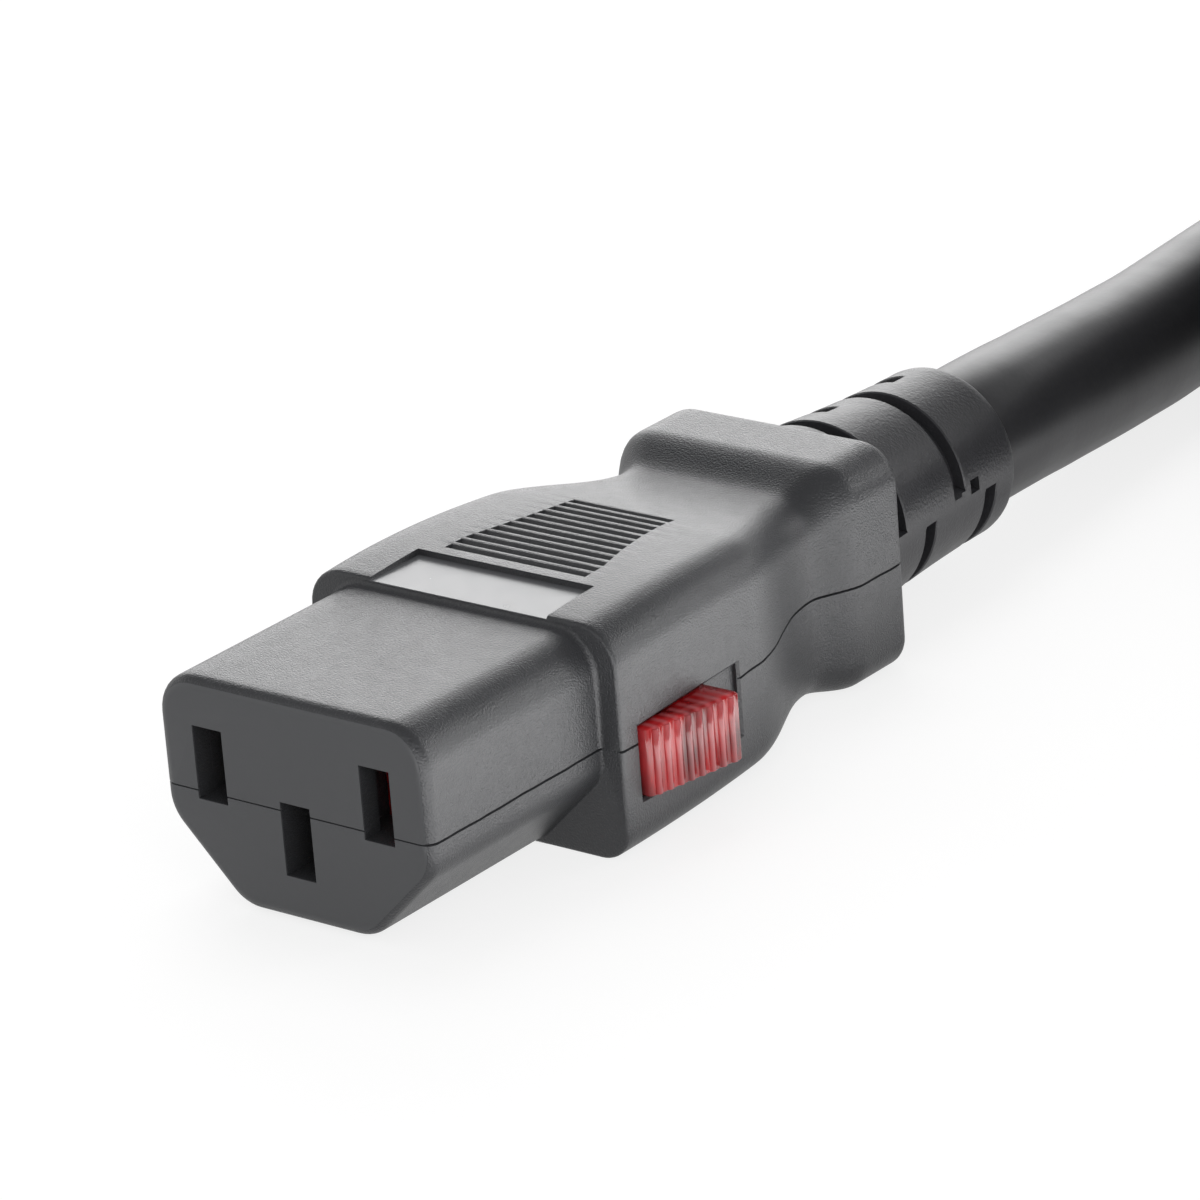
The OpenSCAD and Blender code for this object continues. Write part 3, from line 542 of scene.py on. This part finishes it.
def coilPoint(angle):
    # Clockwise: outer turn, inner turn, inner turn above it, outer turn above.
    lane, radius, low, centre = coilSizes()
    inward = ease(0, 1, (angle - 300) / 40) - ease(0, 1, (angle - 940) / 40)
    rise = ease(0, 1, (angle - 620) / 40)
    out = radius + lane / 2 - lane * inward
    turned = math.radians(180 - angle)
    return centre + Vector((out * math.cos(turned), out * math.sin(turned), low + lane * rise))


def plugHeight():
    low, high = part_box("plug_body")
    return ((low[2] + high[2]) / 2 - partingZ) * 1000


def cordPoints():
    lane, radius, low, centre = coilSizes()
    lead = smoothLine([Vector((x, cordLine["start"] + y, z)) for x, y, z in cordLine["lead"]], 3)
    total = 360 * cordLine["turns"]
    count = int(cordLine["pointsPerTurn"] * cordLine["turns"])
    turns = [coilPoint(total * i / count) for i in range(1, count + 1)]
    top = low + lane
    fall = top - plugHeight()
    tail = []
    for d in steps(0, cordLine["tail"], 22)[1:]:
        drop = ease(0, fall, (d - cordLine["level"]) / (cordLine["tail"] - cordLine["level"] - 2))
        tail.append(centre + Vector((radius + lane / 2, -d, top - drop)))
    return lead + turns + tail


def makeCord():
    points = [at(*p) for p in cordPoints()]
    data = bpy.data.curves.new("free_cord", "CURVE")
    data.dimensions = "3D"
    data.bevel_depth = cordLine["diameter"] / 2000
    data.bevel_resolution = 10
    data.use_fill_caps = True
    spline = data.splines.new("POLY")
    spline.points.add(len(points) - 1)
    for target, p in zip(spline.points, points):
        target.co = (*p, 1)
    spline.use_smooth = True
    cord = bpy.data.objects.new("free_cord", data)
    bpy.context.scene.collection.objects.link(cord)
    dress(cord, finishes["jacket"], "housing", ["cord", "cord_coil", "cord_tail"])


makeCord()

shell = {
    "noseLength": 17.8, "noseWidth": 22.4, "noseTop": 7.95, "noseDrop": 7.8, "keyLeg": 5.8,
    "noseTopRadius": 3.0, "noseKeyRadius": 2.9, "faceRound": 0.9, "rootRadius": 0.4, "rootBelow": 0.4,
    "shoulderWidth": 25.8, "shoulderEdge": 0.25, "length": 54.4, "waistWidth": 17, "blockWidth": 20,
    "crownTop": 8.93, "waistTop": 7.2, "blockTop": 8.7, "drop": 8, "waistLift": 0.4,
    "crownY": 26.0, "hipY": 34.2, "waistY": 45.2, "blockY": 49.2,
    "sideBow": 0.0034, "crownBow": 0.0044, "topRadius": 2.9, "baseRadius": 2.4,
    "blockEdge": 0.9, "seamDepth": 0.2, "seamHalf": 0.09, "columns": 9,
}
grip = {
    "count": 12, "first": 24.38, "pitch": 1.036, "radius": 0.33, "raise": 0.06,
    "frontHalf": 6.4, "rearHalf": 4.3, "taper": 1.75, "lip": 0.03, "lipWidth": 0.12,
    "panelHalf": 7.45, "panelBack": 23.0, "panelFloor": 8.45,
}


def settle(a, slope, b, t):
    start = (2 * t ** 3 - 3 * t ** 2 + 1) * a
    return start + (t ** 3 - 2 * t ** 2 + t) * slope + (3 * t ** 2 - 2 * t ** 3) * b


def along(y, start, bow, middle, waist, block):
    # A bow to the hip, a smooth run down to the waist, and a rise to the cord end's block.
    hip, thin, full = shell["hipY"], shell["waistY"], shell["blockY"]
    if y <= hip:
        return start - bow * (y - middle) ** 2
    if y <= thin:
        span = thin - hip
        return settle(start - bow * (hip - middle) ** 2, -2 * bow * (hip - middle) * span, waist,
                      (y - hip) / span)
    return ease(waist, block, (y - thin) / (full - thin))


def halfWidth(y):
    return along(y, shell["shoulderWidth"] / 2, shell["sideBow"], shell["noseLength"],
                 shell["waistWidth"] / 2, shell["blockWidth"] / 2)


def topHeight(y):
    return along(y, shell["crownTop"], shell["crownBow"], shell["crownY"], shell["waistTop"],
                 shell["blockTop"])


def baseDepth(y):
    hip, thin, full = shell["hipY"], shell["waistY"], shell["blockY"]
    if y < thin:
        return shell["drop"] - ease(0, shell["waistLift"], (y - hip) / (thin - hip))
    return shell["drop"] - ease(shell["waistLift"], 0, (y - thin) / (full - thin))


def seamHeight(y):
    return 0.02 * math.sin(0.8 * y) + 0.015 * math.sin(2.1 * y + 1)


def gripHalf(y):
    t = (y - grip["first"]) / (grip["pitch"] * (grip["count"] - 1))
    return mix(grip["rearHalf"], grip["frontHalf"], (1 - min(1, max(0, t))) ** grip["taper"])


def gripDepth(y):
    i = round((y - grip["first"]) / grip["pitch"])
    off = abs(y - grip["first"] - grip["pitch"] * i)
    if not 0 <= i < grip["count"]:
        return 0
    if off < grip["radius"] - 0.006:
        return max(0, math.sqrt(grip["radius"] ** 2 - off ** 2) - grip["raise"]) + grip["lip"]
    return grip["lip"] * max(0, 1 - (off - grip["radius"]) / grip["lipWidth"])


def arcPoints(cx, cz, r, start, end, count):
    return [(cx + r * math.cos(math.radians(mix(start, end, i / count))),
             cz + r * math.sin(math.radians(mix(start, end, i / count)))) for i in range(count + 1)]


def upperRing(y, w, h, r, inset, body):
    w, h, r = w - inset, h - inset, max(0.3, r - inset)
    flat = w - r
    seam = seamHeight(y)
    half = arcPoints(flat, h - r, r, 0, 90, shell["columns"])
    reach = min(gripHalf(y), flat * 0.6)
    edge = min(grip["panelHalf"], flat * 0.8)
    inPanel = body and y <= grip["panelBack"]
    spots = [mix(flat, edge + 0.02, 0.5), edge + 0.02, edge, reach + 0.03, reach, reach * 0.6, reach * 0.3]
    top = []
    for x in spots:
        z = h
        if inPanel and x <= edge:
            z = min(z, grip["panelFloor"])
        if body and x <= reach:
            z -= gripDepth(y)
        top.append((x, z))
    middle = [(0, top[-1][1])]
    right = [(w - shell["seamDepth"], seam), (w, seam + shell["seamHalf"])] + half[:-1] + [(flat, h)] + top
    points = right + middle + [(-x, z) for x, z in reversed(right)]
    return [(x, y, z) for x, z in points]


def lowerRing(y, w, h, leg, r, inset):
    k = math.sqrt(2) - 1
    w, h = w - inset, h - inset
    leg = leg - inset * (2 - math.sqrt(2))
    seam = seamHeight(y)
    right = [(w - shell["seamDepth"], seam), (w, seam - shell["seamHalf"])]
    right += arcPoints(w - r, leg + r * k - h, r, 0, -45, 6)
    right += arcPoints(w - leg - r * k, r - h, r, -45, -90, 6)
    points = right + [(0, -h)] + [(-x, z) for x, z in reversed(right)]
    return [(x, y, z) for x, z in points]


def roundOff(radius, degrees):
    # How far a rounded edge still has to run, and how far in it stands, at an angle.
    turned = math.radians(degrees)
    return radius * (1 - math.sin(turned)), radius * (1 - math.cos(turned))


def shellStations():
    # Each is a place along the housing, its inset, and whether it is on the body or the nose.
    nose, length, panelBack = shell["noseLength"], shell["length"], grip["panelBack"]
    quarter = steps(0, 90, 8)
    rows = [(*roundOff(shell["faceRound"], a), False) for a in reversed(quarter)]
    rows += [(y, 0, False) for y in steps(1.6, nose - shell["rootRadius"], 14)]
    for a in (30, 60, 90):
        run, inset = roundOff(shell["rootRadius"], a)
        rows.append((nose - run, -inset, False))
    for a in (90, 60, 30, 0):
        run, inset = roundOff(shell["shoulderEdge"], a)
        rows.append((nose + run, inset, True))
    rows += [(y, 0, True) for y in steps(nose + 0.8, panelBack, 8)]
    rows.append((panelBack + 0.02, 0, True))
    across = (-1.4, -1.15, -0.98, -0.9, -0.6, -0.25, 0.25, 0.6, 0.9, 0.98, 1.15, 1.4)
    for i in range(grip["count"]):
        centre = grip["first"] + grip["pitch"] * i
        rows += [(centre + off * grip["radius"], 0, True) for off in across]
    last = grip["first"] + grip["pitch"] * (grip["count"] - 1) + 0.6
    rows += [(y, 0, True) for y in steps(last, length - shell["blockEdge"], 44)]
    for a in quarter[1:]:
        run, inset = roundOff(shell["blockEdge"], a)
        rows.append((length - run, inset, True))
    return rows


def upperShape():
    rings = []
    for y, inset, body in shellStations():
        if body:
            rings.append(upperRing(y, halfWidth(y), topHeight(y), shell["topRadius"], inset, True))
        else:
            rings.append(upperRing(y, shell["noseWidth"] / 2, shell["noseTop"],
                                   shell["noseTopRadius"], inset, False))
    return ringSolid("upper_casing", rings)


def lowerShape():
    rings = []
    fullRound = 2 - math.sqrt(2)                          # leg of a corner that is one round
    for y, inset, body in shellStations():
        if body:
            soft = max(0.3, shell["baseRadius"] - inset)
            rings.append(lowerRing(y, halfWidth(y), baseDepth(y), (soft + inset) * fullRound,
                                   soft, inset))
        else:
            rings.append(lowerRing(y, shell["noseWidth"] / 2, shell["noseDrop"], shell["keyLeg"],
                                   shell["noseKeyRadius"],
                                   inset if inset > 0 else inset * shell["rootBelow"]))
    return ringSolid("lower_casing", rings)


room = {
    "pinX": 7, "lineZ": 2, "earthZ": -2, "slotHalfW": 1.25, "slotHalfH": 2.6, "faceWall": 1.6,
    "slotDepth": 5.1, "chamber": 1.55, "chamberHalfH": 2.7, "barrelEnd": 23.55, "saddleEnd": 24.85,
    "coreRadius": 1.55, "armIn": 4.55, "jacketY": 45.6,
    "pivot": (4.75, 9.4), "pivotRadius": 0.56, "springX": 7.6, "springZ": -2.0,
}
# Low and high corners of the ways that one side's moving pieces run in.
ways = {
    "armTip": ((4.45, 3.9, -2.0), (5.46, 8.3, 4.5)),
    "arm": ((4.46, 4.0, 2.1), (5.47, 24.6, 4.51)),
    "armDrop": ((4.47, 18.3, -0.1), (5.48, 24.8, 4.52)),
    "lockGrip": ((3.2, 8.2, -0.01), (5.5, 15.6, 2.11)),
    "bridge": ((4.4, 18.2, -3.8), (11.0, 24.8, 0.11)),
    "plate": ((9.9, 18.3, -4.5), (11.01, 30.4, 1.5)),
    "neck": ((10.9, 20.2, -3.3), (12.3, 27.5, 0.5)),
    "springTrough": ((5.9, 21.01, -2.0), (9.3, 31.09, 0.12)),
    "padRecess": ((11.8, 19.8, -4.0), (16.8, 31.6, 1.1)),
}


def addRoom(work, side):
    # The ways of one side's contact, slider, lock grip and spring.
    r = room
    low, high = r["lineZ"] - r["slotHalfH"], r["lineZ"] + r["slotHalfH"]
    outer = r["pinX"] + r["slotHalfW"]
    addBox(work, (r["pinX"] - r["slotHalfW"], -1, low), (outer, r["faceWall"] + 0.01, high), side)
    addBox(work, (r["armIn"] - 0.1, r["faceWall"], low + 0.01),
           (outer - 0.01, r["slotDepth"] + 0.01, high - 0.01), side)
    addBox(work, (r["pinX"] - r["chamber"], r["slotDepth"], r["lineZ"] - r["chamberHalfH"]),
           (r["pinX"] + r["chamber"], r["barrelEnd"] + 0.1, r["lineZ"] + r["chamberHalfH"]), side)
    addRod(work, r["coreRadius"], r["barrelEnd"], r["saddleEnd"] + 1, side * r["pinX"], r["lineZ"])
    for near, far in ways.values():
        addBox(work, near, far, side)
    addPost(work, (side * r["pivot"][0], r["pivot"][1]), r["pivotRadius"], -2.3, 0.1)
    addRod(work, 1.7, 21.0, 31.1, side * r["springX"], r["springZ"])
    addFlare(work, side)


def addPost(work, place, radius, z0, z1, sides=24):
    ends = [[work.verts.new(at(place[0] + radius * math.cos(2 * math.pi * i / sides),
                               place[1] + radius * math.sin(2 * math.pi * i / sides), z))
             for i in range(sides)] for z in (z0, z1)]
    for i in range(sides):
        j = (i + 1) % sides
        work.faces.new((ends[0][i], ends[0][j], ends[1][j], ends[1][i]))
    work.faces.new(list(reversed(ends[0])))
    work.faces.new(ends[1])


def addFlare(work, side):
    # Breaks the edge of the pad's recess.
    corners = []
    for deep in (True, False):
        grow = -0.02 if deep else 0.34
        for y, z in ((19.8 - grow, -4.0 - grow), (31.6 + grow, -4.0 - grow),
                     (31.6 + grow, 1.1 + grow), (19.8 - grow, 1.1 + grow)):
            surface = halfWidth(y)
            corners.append(work.verts.new(at(side * (surface + (-0.22 if deep else 0.14)), y, z)))
    for ring in ((0, 1, 2, 3), (4, 5, 6, 7), (0, 1, 5, 4), (1, 2, 6, 5), (2, 3, 7, 6), (3, 0, 4, 7)):
        work.faces.new([corners[i] for i in ring])


def roomCutter():
    r = room
    work = bmesh.new()
    for side in (1, -1):
        addRoom(work, side)
    addBox(work, (-r["slotHalfW"], -1, r["earthZ"] - r["slotHalfH"]),
           (r["slotHalfW"], r["slotDepth"] + 0.01, r["earthZ"] + r["slotHalfH"]))
    addBox(work, (-r["chamber"], r["slotDepth"], r["earthZ"] - r["chamberHalfH"]),
           (r["chamber"], r["barrelEnd"] + 0.1, r["earthZ"] + r["chamberHalfH"]))
    addRod(work, r["coreRadius"], r["barrelEnd"], r["saddleEnd"] + 1, 0, r["earthZ"])
    addBox(work, (-5.2, r["saddleEnd"], -4.2), (5.2, r["jacketY"] + 0.1, 4.8))
    addBox(work, (-8.8, r["saddleEnd"] + 0.01, -0.1), (8.8, 30.02, 4.79))
    addRod(work, 5.45, r["jacketY"] - 0.1, 48.8)
    addBox(work, (-11.6, -1.01, -0.05), (11.6, 0.15, 0.05))
    addRod(work, 7.08, 48.7, 52.1)
    addRod(work, 6.28, 52.0, 55.4)
    return fromWork("room", work)


def makeCasing():
    for make, node in ((upperShape, "upper_shell"), (lowerShape, "lower_shell")):
        casing = make()
        combine(casing, roomCutter(), "DIFFERENCE")
        tidyNormals(casing)
        soften(casing)
        dress(casing, finishes["shell"], "housing", [node])
        print(node, "casing:", len(casing.data.polygons), "faces")


makeCasing()

pad = {
    "front": 19.9, "length": 8.1, "reachFront": 13.45, "reachRear": 15.0, "bottom": -3.9, "top": 1.0,
    "floor": 11.85, "ribs": 8, "ribFirst": 0.7, "ribPitch": 0.94, "ribRadius": 0.3, "ribSunk": 0.08,
    "edge": 0.16, "corner": 0.3,
}


def padFace(y):
    return mix(pad["reachFront"], pad["reachRear"], (y - pad["front"]) / pad["length"])


def padOutline(inset):
    y0, y1 = pad["front"] + inset, pad["front"] + pad["length"] - inset
    turn = pad["corner"]
    line = [(pad["floor"] + inset, y0), (padFace(y0) - turn, y0)]
    for a in (30, 60, 90):
        back, run = roundOff(turn, a)
        line.append((padFace(y0) - back - inset, y0 + run))
    line += [(padFace(y) - inset, y) for y in steps(y0 + 2 * turn, y1 - 2 * turn, 14)]
    for a in (90, 60, 30, 0):
        back, run = roundOff(turn, a)
        line.append((padFace(y1) - back - inset, y1 - run))
    return line + [(pad["floor"] + inset, y1)]


def ribTree(material):
    # A row of upright half-round ribs up the slope of the pad.
    tree = bpy.data.node_groups.new("rib_row", "GeometryNodeTree")
    inputs = {}
    for name, kind in (("Count", "Int"), ("Start", "Vector"), ("Step", "Vector"), ("Radius", "Float"),
                       ("Height", "Float"), ("Material", "Material")):
        inputs[name] = tree.interface.new_socket(name, in_out="INPUT", socket_type="NodeSocket" + kind)
    tree.interface.new_socket("Geometry", in_out="OUTPUT", socket_type="NodeSocketGeometry")
    given = tree.nodes.new("NodeGroupInput").outputs
    row = tree.nodes.new("GeometryNodeMeshLine")
    row.mode = "OFFSET"
    rod = tree.nodes.new("GeometryNodeMeshCylinder")
    rod.inputs["Vertices"].default_value = 20
    spread = tree.nodes.new("GeometryNodeInstanceOnPoints")
    real = tree.nodes.new("GeometryNodeRealizeInstances")
    paint = tree.nodes.new("GeometryNodeSetMaterial")
    end = tree.nodes.new("NodeGroupOutput")
    for source, target in (
            (given["Count"], row.inputs["Count"]), (given["Start"], row.inputs["Start Location"]),
            (given["Step"], row.inputs["Offset"]), (given["Radius"], rod.inputs["Radius"]),
            (given["Height"], rod.inputs["Depth"]), (row.outputs["Mesh"], spread.inputs["Points"]),
            (rod.outputs["Mesh"], spread.inputs["Instance"]),
            (spread.outputs["Instances"], real.inputs["Geometry"]),
            (real.outputs["Geometry"], paint.inputs["Geometry"]),
            (given["Material"], paint.inputs["Material"]),
            (paint.outputs["Geometry"], end.inputs[0])):
        tree.links.new(source, target)
    return tree, inputs


def grown(name, tree, inputs, values):
    # Runs a Geometry Nodes tree and keeps its result as a plain mesh.
    piece = meshPiece(name, [], [])
    modifier = piece.modifiers.new("nodes", "NODES")
    modifier.node_group = tree
    for key, value in values.items():
        modifier[inputs[key].identifier] = value
    bake(piece)
    return piece


def makeSliders():
    tree, inputs = ribTree(finishes["red"])
    rise = (pad["reachRear"] - pad["reachFront"]) / pad["length"]
    for side, hand in ((1, "right"), (-1, "left")):
        layers = [(pad["bottom"], pad["edge"]), (pad["bottom"] + 0.05, pad["edge"] * 0.4),
                  (pad["bottom"] + pad["edge"], 0), (pad["top"] - pad["edge"], 0),
                  (pad["top"] - 0.05, pad["edge"] * 0.4), (pad["top"], pad["edge"])]
        slider = ringSolid(hand + "_slide_pad", [[(side * x, y, z) for x, y in padOutline(inset)]
                                                 for z, inset in layers])
        first = pad["front"] + pad["ribFirst"]
        ribs = grown(hand + "_ribs", tree, inputs, {
            "Count": pad["ribs"], "Radius": pad["ribRadius"] / 1000,
            "Start": at(side * (padFace(first) - pad["ribSunk"]), first, (pad["bottom"] + pad["top"]) / 2),
            "Step": (side * rise * pad["ribPitch"] / 1000, pad["ribPitch"] / 1000, 0),
            "Height": (pad["top"] - pad["bottom"] - 0.3) / 1000, "Material": finishes["red"]})
        combine(slider, ribs, "UNION")
        work = bmesh.new()
        addBox(work, (4.55, 4.0, 2.3), (5.25, 21.0, 4.4), side)
        addBox(work, (4.551, 4.001, -1.9), (5.249, 4.7, 4.399), side)
        addBox(work, (5.0, 10.1, 0.2), (5.4, 11.1, 2.9), side)
        addBox(work, (4.552, 18.4, -3.6), (5.248, 20.99, 4.398), side)
        addBox(work, (4.553, 18.401, -3.599), (10.9, 20.98, -0.3), side)
        addBox(work, (10.0, 18.402, -4.4), (10.9, 26.8, 1.4), side)
        addRod(work, 0.9, 20.5, 23.0, side * 7.6, -2.0, 24)
        addBox(work, (10.7, 20.3, -3.2), (12.4, 23.9, 0.4), side)
        arms = fromWork(hand + "_arms", work)
        combine(slider, arms, "UNION")
        tidyNormals(slider)
        bevelled(slider, 0.05, 1, 50)
        soften(slider, 50)
        dress(slider, finishes["red"], hand + "_slider", [hand + "_release_slider"])


makeSliders()
print("sliders made")

spring = {"turns": 7.0, "radius": 1.3, "wire": 0.2, "front": 21.2, "length": 9.6, "x": 7.6, "z": -2.0}


def springTree():
    tree = bpy.data.node_groups.new("coil_spring", "GeometryNodeTree")
    inputs = {}
    for name, kind in (("Turns", "Float"), ("Radius", "Float"), ("Length", "Float"), ("Wire", "Float"),
                       ("Place", "Vector"), ("Material", "Material")):
        inputs[name] = tree.interface.new_socket(name, in_out="INPUT", socket_type="NodeSocket" + kind)
    tree.interface.new_socket("Geometry", in_out="OUTPUT", socket_type="NodeSocketGeometry")
    given = tree.nodes.new("NodeGroupInput").outputs
    spiral = tree.nodes.new("GeometryNodeCurveSpiral")
    spiral.inputs["Resolution"].default_value = 36
    ring = tree.nodes.new("GeometryNodeCurvePrimitiveCircle")
    ring.inputs["Resolution"].default_value = 12
    sweep = tree.nodes.new("GeometryNodeCurveToMesh")
    sweep.inputs["Fill Caps"].default_value = True
    turn = tree.nodes.new("GeometryNodeTransform")
    turn.inputs["Rotation"].default_value = (-math.pi / 2, 0, 0)
    real = tree.nodes.new("GeometryNodeRealizeInstances")
    paint = tree.nodes.new("GeometryNodeSetMaterial")
    end = tree.nodes.new("NodeGroupOutput")
    for source, target in (
            (given["Turns"], spiral.inputs["Rotations"]), (given["Radius"], spiral.inputs["Start Radius"]),
            (given["Radius"], spiral.inputs["End Radius"]), (given["Length"], spiral.inputs["Height"]),
            (given["Wire"], ring.inputs["Radius"]), (spiral.outputs["Curve"], sweep.inputs["Curve"]),
            (ring.outputs["Curve"], sweep.inputs["Profile Curve"]),
            (sweep.outputs["Mesh"], turn.inputs["Geometry"]),
            (given["Place"], turn.inputs["Translation"]),
            (turn.outputs["Geometry"], real.inputs["Geometry"]),
            (real.outputs["Geometry"], paint.inputs["Geometry"]),
            (given["Material"], paint.inputs["Material"]),
            (paint.outputs["Geometry"], end.inputs[0])):
        tree.links.new(source, target)
    return tree, inputs


def makeSprings():
    tree, inputs = springTree()
    for side, hand in ((1, "right"), (-1, "left")):
        place = at(side * spring["x"], spring["front"], spring["z"])
        piece = grown(hand + "_return_spring", tree, inputs, {
            "Turns": spring["turns"], "Radius": spring["radius"] / 1000, "Length": spring["length"] / 1000,
            "Wire": spring["wire"] / 1000, "Place": place, "Material": finishes["steel"]})
        tidyNormals(piece)
        soften(piece, 60)
        dress(piece, finishes["steel"], "housing", [hand + "_slider_spring"])
        at(side * spring["x"], 31.0, spring["z"])
        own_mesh(piece)


makeSprings()
print("springs made")

relief = {
    "front": 54.46, "frontRadius": 7.7, "fall": 1.1, "length": 19.2, "endRound": 0.85, "bore": 5.48,
    "core": 5.78, "slotFirst": 57.9, "slotPitch": 4.05, "slotWidth": 1.4, "slots": 4, "columns": 160,
    "flange": 7.03, "neck": 6.23, "flangeFront": 48.8, "flangeBack": 52.0, "end": 73.6,
    "lip": 0.09, "lipWidth": 0.13, "pocket": (67.4, 68.5), "pocketZ": (-0.1, 0.7),
}


def reliefRadius(y):
    t = (y - 54.4) / (relief["length"] - relief["endRound"])
    return relief["frontRadius"] - relief["fall"] * (1 - (1 - min(1, max(0, t))) ** 1.8)


def slotOpen(index, x, z):
    return z > 0.4 if index % 2 == 0 else not (x > -1 and z > -0.5)


def roundRing(radius, y):
    turns = [2 * math.pi * (i + 0.5) / relief["columns"] for i in range(relief["columns"])]
    return [(radius * math.cos(a), y, radius * math.sin(a)) for a in turns]


def reliefRow(y, radius):
    # One ring; it drops to the core where a slot or the little side pocket is open.
    half, lip = relief["slotWidth"] / 2, relief["lipWidth"]
    ring = []
    for x, _, z in roundRing(radius, y):
        r = radius
        for index in range(relief["slots"]):
            off = abs(y - relief["slotFirst"] - relief["slotPitch"] * index)
            if slotOpen(index, x, z):
                if off < half:
                    r = min(r, relief["core"])
                elif off < half + lip:
                    r = min(r, radius - relief["lip"] * (1 - (off - half) / lip))
        inPocket = relief["pocket"][0] < y < relief["pocket"][1] and x > 0
        if inPocket and relief["pocketZ"][0] < z < relief["pocketZ"][1]:
            r = min(r, relief["core"])
        ring.append((x * r / radius, y, z * r / radius))
    return ring


def makeRelief():
    front, end, rounded = relief["front"], relief["end"], relief["endRound"]
    flangeFront, flangeBack = relief["flangeFront"], relief["flangeBack"]
    profile = [(relief["bore"], flangeFront), (relief["flange"], flangeFront),
               (relief["flange"], flangeBack), (relief["neck"], flangeBack),
               (relief["neck"], front), (reliefRadius(front) - 0.25, front)]
    rings = [roundRing(r, y) for r, y in profile]
    stations = steps(54.8, end - rounded, 30)
    half, lip = relief["slotWidth"] / 2, relief["lipWidth"]
    for index in range(relief["slots"]):
        middle = relief["slotFirst"] + relief["slotPitch"] * index
        for off in (half - 0.01, half + 0.001, half + 0.06, half + lip):
            stations += [middle - off, middle + off]
    for edge in relief["pocket"]:
        stations += [edge - 0.01, edge + 0.01]
    rings += [reliefRow(y, reliefRadius(y)) for y in sorted(stations)]
    last = reliefRadius(end - rounded)
    for a in (20, 40, 60, 75, 90):
        run, inset = roundOff(rounded, a)
        rings.append(reliefRow(end - run, last - inset))
    rings.append(roundRing(relief["bore"], end))
    count = relief["columns"]
    points = [at(*p) for ring in rings for p in ring]
    faces = []
    for i in range(len(rings)):
        here, there = i * count, (i + 1) % len(rings) * count
        faces += [(here + j, here + (j + 1) % count, there + (j + 1) % count, there + j)
                  for j in range(count)]
    piece = meshPiece("slotted_relief", points, faces)
    tidyNormals(piece)
    soften(piece, 32)
    dress(piece, finishes["relief"], "housing", ["strain_relief"])


makeRelief()
print("strain relief made")

bpy.context.scene.view_settings.view_transform = "Standard"
